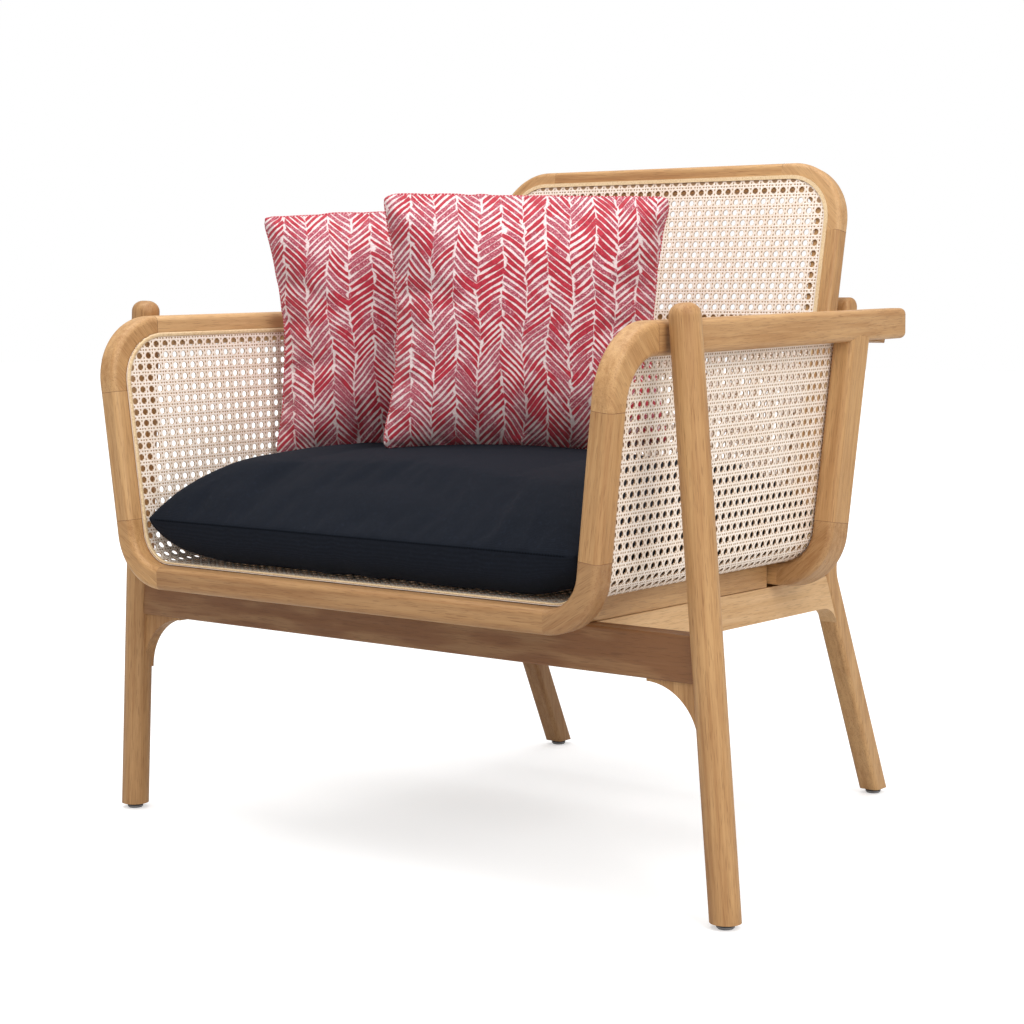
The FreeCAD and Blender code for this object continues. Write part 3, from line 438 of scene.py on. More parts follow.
def joint_ring(material, name, centre, way, across, wide, deep, curve, inward):
    # Thin line round a rounded section where two lengths of wood are glued.
    x = (across - way * across.dot(way)).normalized()
    y = way.cross(x)
    proud, half_line, sunk = 0.06, 0.25, 0.5
    outline = []
    for cx, cy, turn in ((1, 1, 0), (-1, 1, 90), (-1, -1, 180), (1, -1, 270)):
        for k in range(7):
            a = math.radians(turn + 15 * k)
            px = cx * (wide / 2 - curve) + math.cos(a) * (curve + proud)
            py = cy * (deep / 2 - curve) + math.sin(a) * (curve + proud)
            outline.append(x * px + y * py)
    count = len(outline)
    verts = [centre + (spot * scale + way * end) * MM for end in (-half_line, half_line)
             for scale in (1, 1 - sunk / max(wide, deep)) for spot in outline]
    faces = []
    for k in range(count):
        n = (k + 1) % count
        if inward and (in_back_rebate(outline[k], inward)
                       or in_back_rebate(outline[n], inward)):
            continue
        for p, q in ((0, 2), (3, 1), (1, 0), (2, 3)):
            a, b = p * count, q * count
            faces.append((a + k, a + n, b + n, b + k))
    return new_object(name, verts, faces, "chair_frame", material)


def in_back_rebate(spot, inward):
    # The cane and its spline cover the joint's inner front part.
    front, inner = BACK_REBATE
    return spot.dot(BACK.front) > front and spot.dot(inward) > inner


def joint_places():
    # Name, centre, way, across, width, depth, rounding and inward way of each joint.
    places = []
    for side, label in ((1, "right"), (-1, "left")):
        for plane, line, flare, deep, stem, levels in (
                (FRONT, FRONT_LINE, FRONT_FLARE, FRONT_HOOP_DEEP, "front",
                 (LOWER_JOINT, UPPER_JOINT)),
                (REAR, REAR_LINE, REAR_FLARE, REAR_HOOP_DEEP, "rear", (LOWER_JOINT,))):
            b = math.radians(flare)
            way = ACROSS * math.sin(b) * side + plane.up * math.cos(b)
            for n, u in enumerate(levels, 1):
                x = line + (u - LOWER_JOINT) * math.tan(b)
                places.append(("%s_joint_%d_%s" % (stem, n, label), plane.at(side * x, u),
                               way, ACROSS, HOOP_WIDE, deep, HOOP_CURVE, None))
        places.append(("back_joint_low_" + label, BACK.at(side * BACK_LINE, BACK_JOINT_LOW),
                       BACK.up, ACROSS, *BACK_SECTION, -ACROSS * side))
        places.append(("back_joint_top_" + label,
                       BACK.at(side * BACK_JOINT_HALF, BACK_TOP_LINE), ACROSS, BACK.up,
                       *BACK_SECTION, -BACK.up))
        mirror = Vector((side, 1, 1))
        places.append(("arm_joint_" + label, ARM_START * mirror * MM,
                       ((ARM_END - ARM_START) * mirror).normalized(), ACROSS, HOOP_WIDE,
                       ARM_TALL, HOOP_CURVE, None))
    return places


# Foot glides.

class CHAIR_OT_glides(bpy.types.Operator):
    """Finishes the plastic foot glides"""
    bl_idname = "chair.glides"
    bl_label = "Foot glides"

    def execute(self, context):
        material, net = new_material("glide_plastic")
        place = net.place()
        scuff = net.noise(place, 420, 4, 0.7)
        low = net.step(net.parts(place)[2], 0.0022, 0.0034)
        dark = net.ramp(scuff, (0.3, rgb(30, 28, 27)), (0.7, rgb(52, 48, 46)))
        grey = net.ramp(scuff, (0.3, rgb(128, 128, 130)), (0.7, rgb(164, 164, 166)))
        net.finish(net.mix(low, grey, dark), net.step(scuff, 0.3, 0.7, 0.42, 0.6),
                   (scuff, 0.0001, 0.4))
        for name in NODES:
            if "glide" in name:
                dress(name, material)
        return {"FINISHED"}


# Cane.

class ChairCaneSettings(bpy.types.PropertyGroup):
    pitch: length_value("Pitch", "Distance between the holes of the cane", 0.0128, 0.008,
                        0.02)
    hole: number_value("Hole share", "Hole's width as a share of the pitch", 0.56, 0.2, 0.7)
    thickness: length_value("Thickness", "Thickness of the woven cane", 0.0013, 0.0005,
                            0.003)
    colour: colour_value("Cane", "Colour of the cane strands", rgb(252, 243, 234))
    # The edge colour paints shade on the strands' round sides and where they pass under,
    # besides their darker fibres; the shade colour is painted shade between the strands.
    edge: colour_value("Cane edge", "Colour of the strands' edges", rgb(232, 208, 182))
    shade: colour_value("Cane shade", "Colour between the cane strands",
                        rgb(150, 116, 82))


def cane_group():
    group, net, given, out = node_group(
        "CaneWeave",
        [("Vector", "Vector", None), ("Strand", "Color", (1, 1, 1, 1)),
         ("Edge", "Color", (0.5, 0.5, 0.5, 1)), ("Gap", "Color", (0, 0, 0, 1))],
        [("Color", "Color"), ("Height", "Float")])
    vector, edge = given["Vector"], given["Edge"]
    parts = net.parts(vector)
    u, v = parts[0], parts[1]

    def ridge(value, line, half):
        # 1 on a strand's middle line and 0 at its edges. Holes lie between whole numbers.
        away = net.math("DIVIDE", net.minus(net.off_middle(value), line), half)
        return net.math("SUBTRACT", 1, net.times(away, away), clamp=True)

    # Strands pass over and under each other in turn; the lower height of a strand passing
    # under also darkens its colour, as painted shade.
    cell = net.add("TexChecker", {"Vector": vector, "Scale": 2.0})
    turn = net.times_plus(cell.outputs[1], 0.4, 0.6)
    other = net.minus(1.6, turn)
    straight = net.math("MAXIMUM", net.times(ridge(u, 0.36, 0.085), turn),
                        net.times(ridge(v, 0.36, 0.085), other))
    crossed = net.math("MAXIMUM", net.times(ridge(net.minus(u, v), 0.0, 0.13), other),
                       net.times(ridge(net.plus(u, v), 0.0, 0.13), turn))
    height = net.math("MAXIMUM", straight, net.times(crossed, 0.85))
    fibre = net.noise(vector, 3.1, 3, 0.6)
    patch = net.noise(vector, 0.37, 2, 0.5)
    bright = net.mix(net.step(fibre, 0.35, 0.75, 0, 0.4), given["Strand"], edge)
    bright = net.mix(net.step(patch, 0.35, 0.75, 0, 0.35), bright, edge)
    # Painted shade: strands darken towards their edges and where they pass under, and the
    # gap colour between them stands for the shade seen through the small openings.
    colour = net.mix(net.step(height, 0.22, 0.7), edge, bright)
    net.put(out["Color"], net.mix(net.step(height, 0.03, 0.2), given["Gap"], colour))
    net.put(out["Height"], height)
    return group


def cane_material(cane):
    material, net = new_material("cane_weave")
    weave = net.add("Group", {"Vector": net.uv(), "Strand": cane.colour, "Edge": cane.edge,
                              "Gap": cane.shade}, node_tree=cane_group()).outputs
    net.finish(weave["Color"], 0.45, (weave["Height"], 0.0004, 0.7))
    return material


def spline_material():
    material, net = new_material("cane_spline_strip")
    place = net.place()
    fibre = net.noise(net.scaled(place, (1, 0.35, 0.6)), 900, 4, 0.65)
    patch = net.noise(place, 30, 2)
    colour = net.ramp(fibre, (0.28, rgb(196, 160, 114)), (0.5, rgb(226, 198, 156)),
                      (0.75, rgb(238, 216, 180)))
    colour = net.mix(net.step(patch, 0.4, 0.7, 0, 0.3), colour, rgb(214, 180, 132))
    net.finish(colour, net.step(fibre, 0.3, 0.7, 0.5, 0.38), (fibre, 0.0002, 0.5))
    return material


RIM_POINTS = 8
# Shares of the pitch: cells dropped past a round corner, and kept whole before it.
DROP_PAST = 0.62
WHOLE_BEFORE = 0.42
FULL_CELL = 0.99


def pierced_sheet(name, columns, rows, place, kind_at, hole, material):
    # Two faces of a lattice of cells, each with a round hole where kind_at says open.
    # In UV, cell edges fall on whole numbers, where the strands are.
    verts, faces, uvs = [], [], []
    known = {}
    circle = []
    for k in range(2 * RIM_POINTS):
        a = math.pi / RIM_POINTS * k - math.pi / 4
        circle.append((math.cos(a) * hole / 2, math.sin(a) * hole / 2))

    def vertex(key, u, v, side):
        full = (key, side)
        if full not in known:
            known[full] = len(verts)
            verts.append(place(u, v, side))
            uvs.append((u - columns[1], v - rows[1]))
        return known[full]

    for i, (u0, u1) in enumerate(zip(columns, columns[1:])):
        for j, (v0, v1) in enumerate(zip(rows, rows[1:])):
            um, vm = (u0 + u1) / 2, (v0 + v1) / 2
            kind = kind_at(um, vm, min(u1 - u0, v1 - v0))
            if kind == "none":
                continue
            rim = ((u1, v0), (u1, vm), (u1, v1), (um, v1), (u0, v1), (u0, vm), (u0, v0),
                   (um, v0))
            rings = []
            for side in (0, 1):
                outer = [vertex((round(u, 4), round(v, 4)), u, v, side) for u, v in rim]
                after = outer[1:] + outer[:1]
                if kind == "closed":
                    centre = vertex(("m", i, j), um, vm, side)
                    cell = [(a, b, centre) for a, b in zip(outer, after)]
                else:
                    ring = [vertex(("h", i, j, k), um + du, vm + dv, side)
                            for k, (du, dv) in enumerate(circle)]
                    rings.append(ring)
                    cell = [(a, b, ring[(2 * k + 2) % len(ring)], ring[2 * k + 1],
                             ring[2 * k]) for k, (a, b) in enumerate(zip(outer, after))]
                faces += cell if side else [face[::-1] for face in cell]
            if rings:
                back, front = rings
                for k in range(len(circle)):
                    n = (k + 1) % len(circle)
                    faces.append((back[k], back[n], front[n], front[k]))
    # Close the outer edge between the two faces.
    edges = {(a, b) for face in faces for a, b in zip(face, face[1:] + face[:1])}
    behind = {index: known[key, 0] for (key, side), index in known.items() if side}
    for a, b in sorted(edges):
        if a in behind and b in behind and (b, a) not in edges:
            faces.append((b, a, behind[a], behind[b]))
    obj = new_object(name, verts, faces, "chair_frame", material, smooth=False)
    store_uv(obj, uvs)
    return obj


def lattice(length, pitch):
    # Even cells over a length, with the rest shared by both ends, in pitches.
    count = int((length - 0.2 * pitch) / pitch)
    rest = (length - count * pitch) / 2
    spots = [0.0] + [rest + pitch * k for k in range(count + 1)] + [length]
    return [spot / pitch for spot in spots]


def weave_sheet(name, cane, material, length, depth, curve, corners, spot):
    # Cane over a length and a depth, with the two round corners at one end of the depth.
    # spot gives a place from how far along, how far from the corners' edge, and the rise.
    pitch = cane.pitch / MM
    thick = cane.thickness / MM

    def rounded(u, v):
        # Distance past a corner's curve, and the place held on to that curve.
        along, inwards = u * pitch, abs(corners - v * pitch)
        near = min(along, length - along)
        px, py = curve - near, curve - inwards
        if px <= 0 or py <= 0:
            return -min(near, inwards), along, inwards
        reach = math.hypot(px, py)
        if reach > curve:
            near, inwards = curve - px * curve / reach, curve - py * curve / reach
            along = near if along < length / 2 else length - near
        return reach - curve, along, inwards

    def place(u, v, side):
        _, along, inwards = rounded(u, v)
        return spot(along, inwards, thick * side)

    def kind_at(u, v, width):
        past = rounded(u, v)[0]
        if past > DROP_PAST * pitch:
            return "none"
        if width < FULL_CELL or past > -WHOLE_BEFORE * pitch:
            return "closed"
        return "open"

    return pierced_sheet(name, lattice(length, pitch), lattice(depth, pitch), place,
                         kind_at, cane.hole, material)


# The U's runs are arm, bend, level, bend and arm, and the last stays short of its end.
RUNS = 5
RUN_SHARES = (0, 1, 2, 3, 4, 4.9999)


class BucketSheet:
    # The ruled sheet between the two hoops, by length along the U and depth.
    def __init__(self):
        # Plane, half width, flare, distance forward, top and the arm's inner line.
        self.ends = ((FRONT, FRONT_LINE, FRONT_FLARE, -3.0, 275.89, 334.61),
                     (REAR, REAR_LINE, REAR_FLARE, 13.0, 282.66, 315.13))
        self.tables = {}
        middle = 1.6
        lengths = [self.outline(end, middle)[1] for end in self.ends]
        self.breaks = [sum(pair) / 2 for pair in zip(*lengths)]
        self.length = self.breaks[-1]
        self.depth = 452.0

    def outline(self, end, off):
        # Corner points with the lengths at which straight and curved runs meet.
        _, half, flare, _, top, arm_in = end
        lean = math.radians(flare)
        low = HOOP_WIDE / 2 + off

        def side(u):
            return half + (u - LOWER_JOINT) * math.tan(lean) - low / math.cos(lean)

        high = min(side(top), arm_in - off)
        r = CORNER_INNER - off
        foot = Vector((side(low), low))
        tip = Vector((high, top))
        way = (tip - foot).normalized()
        turn = math.pi - Vector((-1, 0)).angle(way)
        run = r * math.tan(turn / 2)
        start, stop = foot + Vector((-run, 0)), foot + way * run
        inner = start + Vector((0, r))
        straight, arc, level = (tip - stop).length, r * turn, 2 * start.x
        total = [0]
        for piece in (straight, arc, level, arc, straight):
            total.append(total[-1] + piece)
        return (tip, stop, inner, start, r, turn), total

    def spot(self, end, off, share):
        # Point for a share (run number + fraction) along the U, alike from both ends.
        (tip, stop, inner, start, r, turn), _ = self.outline(end, off)
        sign = -1 if share < RUNS / 2 else 1
        share = min(share, RUNS - share)
        f = share % 1
        if share < 1:
            x, u = tip.lerp(stop, f)
        elif share < 2:
            x = inner.x + r * math.sin(turn * (1 - f))
            u = inner.y - r * math.cos(turn * (1 - f))
        else:
            x, u = (1 - 2 * f) * start.x, start.y
        plane, forward = end[0], end[3]
        return plane.at(sign * x, u, forward)

    def point(self, s, t, off):
        key = (round(s, 3), off)
        if key not in self.tables:
            share = float(np.interp(s, self.breaks, RUN_SHARES))
            self.tables[key] = [self.spot(end, off, share) for end in self.ends]
        front, rear = self.tables[key]
        return front.lerp(rear, t)


CANE_DROP = 5.0
CANE_CORNER = 57.5
CANE_LIFT = 1.0
BEAD_WIDE = 5.0
BEAD_PROUD = 1.3
BEAD_PROFILE = ((-1, -0.25), (-0.94, 0.45), (-0.7, 0.85), (-0.3, 1), (0.3, 1), (0.7, 0.85),
                (0.94, 0.45), (1, -0.25))
BEND_STEPS, ARM_STEPS, LEVEL_STEPS = 12, 24, 150
PANEL_HALF = 233.5
PANEL_LOW = 23.0
PANEL_HIGH = 471.55
PANEL_CORNER = 51.5
PANEL_FACE = 11.25


def build_bucket(cane, weave, strips):
    sheet = BucketSheet()
    length = sheet.length - 2 * CANE_DROP

    def spot(along, inwards, rise):
        return sheet.point(CANE_DROP + along, inwards / sheet.depth, CANE_LIFT + rise)

    obj = weave_sheet("bucket_cane", cane, weave, length, sheet.depth, CANE_CORNER, 0, spot)
    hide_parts("cane_bucket")
    thick = cane.thickness / MM
    for node, path in spline_paths(length, sheet.depth).items():
        # A half-round strip over the skin's edge.
        spots = [spot(s, d, thick) for s, d in path]
        verts = []
        for i, (s, d) in enumerate(path):
            way = (spots[min(i + 1, len(spots) - 1)] - spots[max(i - 1, 0)]).normalized()
            rise = spot(s, d, thick + 1) - spots[i]
            rise = (rise - way * rise.dot(way)).normalized()
            side = way.cross(rise)
            for across, up in BEAD_PROFILE:
                verts.append(spots[i] + (side * across * BEAD_WIDE / 2
                                         + rise * up * BEAD_PROUD) * MM)
        faces = ring_faces(len(path), len(BEAD_PROFILE), False)
        obj = new_object(node + "_strip", verts, [face[::-1] for face in faces],
                         "chair_frame", strips)
        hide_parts(node)


def spline_paths(length, depth):
    # Middle lines of the strips that hold the skin's edges.
    edge = BEAD_WIDE / 2
    curve = CANE_CORNER - edge

    def corner(first, last):
        turns = [math.radians(first + (last - first) * k / BEND_STEPS)
                 for k in range(BEND_STEPS + 1)]
        return [(CANE_CORNER - curve * math.cos(a), CANE_CORNER - curve * math.sin(a))
                for a in turns]

    def run(s0, d0, s1, d1, count):
        return [(s0 + (s1 - s0) * k / count, d0 + (d1 - d0) * k / count)
                for k in range(count + 1)]

    def mirrored(path):
        return [(length - s, d) for s, d in path]

    arm = run(edge, depth, edge, CANE_CORNER, ARM_STEPS)[:-1] + corner(0, 45)
    return {
        "front_spline": corner(45, 90)[:-1]
        + run(CANE_CORNER, edge, length - CANE_CORNER, edge, LEVEL_STEPS)
        + mirrored(corner(90, 45))[1:],
        "rear_spline": run(BEAD_WIDE, depth - edge, length - BEAD_WIDE, depth - edge,
                           LEVEL_STEPS),
        "arm_spline_left": arm,
        "arm_spline_right": mirrored(arm),
    }


def build_back_panel(cane, weave):
    rear_face = PANEL_FACE - cane.thickness / MM
    depth = PANEL_HIGH - PANEL_LOW

    def spot(along, inwards, rise):
        return BACK.at(along - PANEL_HALF, PANEL_HIGH - inwards, rear_face + rise)

    obj = weave_sheet("back_panel_cane", cane, weave, 2 * PANEL_HALF, depth, PANEL_CORNER,
                      depth, spot)
    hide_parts("back_cane")


class CHAIR_OT_cane(bpy.types.Operator):
    """Weaves the bucket's skin and the back's panel, and finishes their splines"""
    bl_idname = "chair.cane"
    bl_label = "Cane"

    def execute(self, context):
        cane = context.scene.chair_cane
        weave, strips = cane_material(cane), spline_material()
        build_bucket(cane, weave, strips)
        build_back_panel(cane, weave)
        dress("back_spline", strips)
        return {"FINISHED"}


# Cushions.

class ChairCushionSettings(bpy.types.PropertyGroup):
    seat_colour: colour_value("Seat fabric", "Colour of the seat cushion", rgb(22, 27, 37))
    voxel: length_value("Cloth grid", "Grid of the simulated cloth", 0.0055, 0.003, 0.02)
    pressure: number_value("Filling", "Pressure of the filling on the cloth", 4, 0, 20)
    frames: IntProperty(
        name="Steps", description="Steps of the cloth simulation", default=20, min=1, max=60)


def soft_copy(name, node, inset):
    # Free mesh from a solid's surface, a little smaller than the solid.
    mesh = NODES[node].data.copy()
    mesh.name = name
    obj = bpy.data.objects.new(name, mesh)
    bpy.context.scene.collection.objects.link(obj)
    mesh.materials.clear()
    for layer in list(mesh.uv_layers):
        mesh.uv_layers.remove(layer)
    b = bmesh.new()
    b.from_mesh(mesh)
    bmesh.ops.remove_doubles(b, verts=b.verts, dist=0.00002)
    bmesh.ops.recalc_face_normals(b, faces=b.faces)
    b.normal_update()
    for vert in b.verts:
        vert.co -= vert.normal * inset
    b.to_mesh(mesh)
    b.free()
    return obj


def apply_modifiers(obj):
    depsgraph = bpy.context.evaluated_depsgraph_get()
    mesh = bpy.data.meshes.new_from_object(obj.evaluated_get(depsgraph))
    old = obj.data
    obj.modifiers.clear()
    obj.data = mesh
    bpy.data.meshes.remove(old)


def vertices_of(obj):
    co = np.zeros(len(obj.data.vertices) * 3, np.float64)
    obj.data.vertices.foreach_get("co", co)
    return co.reshape(-1, 3)


def move_vertices(obj, places):
    obj.data.vertices.foreach_set("co", places.ravel())
    obj.data.update()


SEAM_HOLD = 0.0035


def puff(obj, settings, seam_height, cap, shrink, tension):
    # Remesh, blow up as cloth with the seam held, and keep every point within the cap.
    remesh = obj.modifiers.new("grid", "REMESH")
    remesh.mode = "VOXEL"
    remesh.voxel_size = settings.voxel
    apply_modifiers(obj)
    rest = vertices_of(obj)
    group = obj.vertex_groups.new(name="held")
    for index in np.nonzero(np.abs(seam_height(rest)) < SEAM_HOLD)[0]:
        group.add([int(index)], 0.6, "ADD")
    cloth = obj.modifiers.new("cloth", "CLOTH")
    fabric = cloth.settings
    fabric.use_pressure = True
    fabric.uniform_pressure_force = settings.pressure
    fabric.effector_weights.gravity = 0
    fabric.quality = 5
    fabric.mass = 0.3
    fabric.tension_stiffness = tension
    fabric.compression_stiffness = tension
    fabric.bending_stiffness = 0.4
    fabric.shrink_min = shrink
    fabric.vertex_group_mass = "held"
    cloth.collision_settings.use_collision = False
    scene = bpy.context.scene
    cloth.point_cache.frame_start = 1
    cloth.point_cache.frame_end = settings.frames
    for frame_number in range(1, settings.frames + 1):
        scene.frame_set(frame_number)
    apply_modifiers(obj)
    scene.frame_set(1)
    delta = vertices_of(obj) - rest
    length = np.linalg.norm(delta, axis=1)
    scale = np.minimum(1, cap / np.maximum(length, 1e-9))
    move_vertices(obj, rest + delta * scale[:, None])


def smooth_mesh(obj, repeats):
    smoothing = obj.modifiers.new("smooth", "SMOOTH")
    smoothing.factor = 0.5
    smoothing.iterations = repeats
    division = obj.modifiers.new("division", "SUBSURF")
    division.levels = 1
    division.render_levels = 1
    apply_modifiers(obj)
    obj.data.polygons.foreach_set("use_smooth", [True] * len(obj.data.polygons))


def seam_path(obj, centre, x_way, y_way, half_x, half_y, count, sunk):
    # Outer edge of a cushion, found by looking inwards along its own plane.
    tree = BVHTree.FromObject(obj, bpy.context.evaluated_depsgraph_get())
    points = []
    z_way = x_way.cross(y_way)
    for k in range(count):
        a = 2 * math.pi * k / count
        c, s = math.cos(a), math.sin(a)
        scale = 1.25 / max(abs(c), abs(s))
        far = centre + x_way * c * scale * half_x + y_way * s * scale * half_y
        inward = (centre - far).normalized()
        looks = [tree.ray_cast(far + z_way * lift, inward)
                 for lift in (-0.004, -0.002, 0, 0.002, 0.004)]
        hits = [hit for hit in looks if hit[0] is not None]
        if hits:
            points.append(min(hits, key=lambda hit: hit[3])[0] + inward * sunk)
    for _ in range(2):
        points = [(points[i - 1] + points[i] * 2 + points[(i + 1) % len(points)]) / 4
                  for i in range(len(points))]
    return points


SEAT_SEAM_LEVEL = 0.36199
# Reach in from the front, the rear and the sides over which the underside rounds up,
# with the power of that curve.
FRONT_FULL = (0.044, 2.2)
REAR_FULL = (0.05, 2.0)
SIDE_FULL = (0.1, 2.0)
SHOULDER_HIGH = 0.009
SHOULDER_REACH = 0.15


def fill_underside(obj, low, high):
    # The filling sinks, so below its seam the cushion stands fuller than an arch.
    co = vertices_of(obj)
    drop = SEAT_SEAM_LEVEL - co[:, 2]
    depth = SEAT_SEAM_LEVEL - low.z
    from_side = high.x - np.abs(co[:, 0])
    wanted = np.full(len(co), depth)
    for distance, (reach, power) in ((co[:, 1] - low.y, FRONT_FULL),
                                     (high.y - co[:, 1], REAR_FULL),
                                     (from_side, SIDE_FULL)):
        inside = np.clip(distance / reach, 0, 1)
        wanted *= (1 - (1 - inside) ** power) ** (1 / power)
    near_front = (co[:, 1] - low.y) / (high.y - low.y) < 0.1
    wrinkle = 0.0012 * np.sin(co[:, 0] * 47 + 3 * np.sin(co[:, 0] * 21)) * near_front
    new = np.maximum(drop, np.minimum(wanted + wrinkle, depth))
    co[:, 2] = np.where(drop > 0.004, SEAT_SEAM_LEVEL - new, co[:, 2])
    # Above the seam it swells soon after its sides.
    shoulder = np.sin(math.pi * np.clip(from_side / SHOULDER_REACH, 0, 1))
    co[:, 2] += SHOULDER_HIGH * shoulder * np.clip(-drop / 0.025, 0, 1)
    move_vertices(obj, co)


class CHAIR_OT_seat_cushion(bpy.types.Operator):
    """Fills the seat cushion and sews its seam"""
    bl_idname = "chair.seat_cushion"
    bl_label = "Seat cushion"

    def execute(self, context):
        settings = context.scene.chair_cushions
        obj = soft_copy("seat_pad", "seat_cushion", inset=0.001)
        low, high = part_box("seat_cushion")
        puff(obj, settings, lambda co: co[:, 2] - SEAT_SEAM_LEVEL, cap=0.009, shrink=-0.02,
             tension=12)
        fill_underside(obj, low, high)
        smooth_mesh(obj, repeats=3)
        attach(obj, "seat_cushion_body")
        obj.data.materials.append(seat_material(settings.seat_colour))
        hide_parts("seat_cushion")
        centre = Vector(((low.x + high.x) / 2, (low.y + high.y) / 2, SEAT_SEAM_LEVEL))
        points = seam_path(obj, centre, ACROSS, Vector((0, 1, 0)), (high.x - low.x) / 2,
                           (high.y - low.y) / 2, count=420, sunk=0.0006)
        welt = tube("seat_seam", points, 0.001, "seat_cushion_body", seam_material())
        return {"FINISHED"}


def seat_material(colour):
    material, net = new_material("navy_weave")
    vector = net.place()
    weave = net.times(net.wave(vector, "X", 320, 1.2, 1, 2),
                      net.wave(vector, "Y", 320, 1.2, 1, 2))
    slub = net.noise(vector, 240, 3, 0.6)
    broad = net.noise(vector, 9, 2, 0.5)
    dark = tuple(c * 0.62 for c in colour)
    lit = tuple(c * 1.7 for c in colour)
    # Between the threads the cloth darkens towards the dark colour: painted shade in the
    # weave's hollows.
    cloth = net.mix(weave, dark, colour)
    cloth = net.mix(net.step(slub, 0.5, 0.8, 0, 0.4), cloth, lit)
    cloth = net.mix(net.step(broad, 0.4, 0.7, 0, 0.25), cloth, dark)
    net.finish(cloth, 0.9, (net.plus(weave, slub), 0.0003, 0.5), Specular_IOR_Level=0.15,
               Sheen_Weight=0.025, Sheen_Roughness=0.5, Sheen_Tint=rgb(120, 134, 160))
    return material


def seam_material():
    material, net = new_material("navy_seam")
    # The cord is coloured darker than the seat fabric: painted shade along the seam, set
    # against the light its round cord catches.
    stitch = net.wave(net.uv(), "X", 90)
    net.finish(net.ramp(stitch, (0.2, rgb(8, 10, 14)), (0.8, rgb(20, 25, 33))), 0.95,
               (stitch, 0.0003, 0.5), Specular_IOR_Level=0.05)
    return material


class ChairPillowSettings(bpy.types.PropertyGroup):
    red: colour_value("Red yarn", "Colour of the plain red yarn", rgb(178, 28, 50))
    heather: colour_value("Heather yarn", "Colour of the mixed pink yarn",
                          rgb(188, 94, 108))
    pale: colour_value("Pale yarn", "Colour of the yarn between the bars",
                       rgb(230, 212, 210))
    column: length_value("Column", "Width of one zigzag leg", 0.0255, 0.01, 0.08)
    bar: length_value("Bar", "Rise from one bar to the next", 0.008, 0.003, 0.03)


def zigzag_group():
    group, net, given, out = node_group(
        "ZigzagWeave",
        [("Vector", "Vector", None), ("Column", "Float", 0.0265), ("Bar", "Float", 0.0082),
         ("Red", "Color", (1, 0, 0, 1)), ("Heather", "Color", (1, 0.5, 0.5, 1)),
         ("Pale", "Color", (1, 1, 1, 1))],
        [("Color", "Color"), ("Height", "Float")])
    vector, width, bar = given["Vector"], given["Column"], given["Bar"]
    # The cloth's lines wander a little, and each column starts at its own height.
    drift = net.parts(net.noise(vector, 13, 1, output=1))
    parts = net.parts(vector)
    x = net.plus(parts[0], net.times_plus(drift[0], 0.02, -0.01))
    y = net.plus(parts[1], net.times_plus(drift[1], 0.01, -0.005))
    across = net.math("DIVIDE", x, width)
    column = net.math("FLOOR", across)
    within = net.minus(across, column)
    start = net.add("TexWhiteNoise", noise_dimensions="1D")
    net.put(start.inputs["W"], column)
    y = net.times_plus(start.outputs["Value"], bar, y)
    # Bars climb from side to side of a column, so they read as a zigzag.
    peak = net.add("Mix", {0: net.math("PINGPONG", column, 1), 2: within,
                           3: net.minus(1, within)}, data_type="FLOAT")
    lean = net.step(net.noise(vector, 6, 0), 0.35, 0.65, 0.75, 1.1)
    rise = net.times(peak.outputs[0], net.times(lean, width))
    bars = net.math("DIVIDE", net.minus(y, rise), bar)
    number = net.math("FLOOR", bars)
    edge = net.off_middle(bars)
    jag = net.noise(net.scaled(vector, (12, 85, 0)), 1, 1)
    side = net.minus(net.plus(within, net.times_plus(jag, 0.6, -0.3)), 0.5)
    side = net.math("ABSOLUTE", side)
    pick = net.add("CombineXYZ", {0: column, 1: number})
    chance = net.add("TexWhiteNoise", noise_dimensions="2D")
    net.put(chance.inputs["Vector"], pick.outputs[0])
    dice = net.parts(chance.outputs["Color"])
    # Ragged ends leave pale gaps of changing length where two columns meet.
    rag = net.noise(vector, 330, 2, 0.7)
    reach = net.times_plus(rag, -0.14, net.times_plus(dice[1], 0.2, 0.48))
    ends = net.step(net.minus(side, reach), 0.03, -0.03)
    plump = net.step(net.noise(vector, 42, 2), 0.3, 0.7, 0.15, 0.37)
    thick = net.times_plus(rag, 0.2, plump)
    body = net.times(net.step(net.minus(edge, thick), 0.06, -0.06), ends)
    speck = net.noise(vector, 520, 2, 0.8)
    soft = net.noise(vector, 220, 2, 0.6)
    area = net.noise(vector, 30, 1)
    red, heather, pale = given["Red"], given["Heather"], given["Pale"]
    mixed = net.mix(net.step(speck, 0.42, 0.6), rgb(146, 50, 68), heather)
    mixed = net.mix(net.step(speck, 0.56, 0.7, 0, 0.6), mixed, pale)
    plain = net.mix(net.step(speck, 0.54, 0.7, 0, 0.5), red, heather)
    plain = net.mix(net.step(soft, 0.32, 0.6, 0.5, 0), plain, rgb(112, 12, 30))
    choice = net.times_plus(area, 0.9, net.times(dice[0], 0.45))
    yarn = net.mix(net.step(choice, 0.67, 0.73), plain, mixed)
    ground = net.mix(net.step(speck, 0.45, 0.7, 0, 0.5), pale, heather)
    net.put(out["Color"], net.mix(body, ground, yarn))
    raised = net.times_plus(net.minus(1, net.times(edge, edge)), 0.4,
                            net.times(speck, 0.25))
    net.put(out["Height"], net.times_plus(body, 0.7, raised))
    return group


def pillow_material(name, group, pillows, shift):
    material, net = new_material(name)
    moved = net.add("Mapping", {"Vector": net.uv(), "Location": shift})
    weave = net.add("Group", {"Vector": moved.outputs[0], "Column": pillows.column,
                              "Bar": pillows.bar, "Red": pillows.red,
                              "Heather": pillows.heather, "Pale": pillows.pale},
                    node_tree=group).outputs
    net.finish(weave["Color"], 0.85, (weave["Height"], 0.0012, 0.7), Sheen_Weight=0.15)
    return material


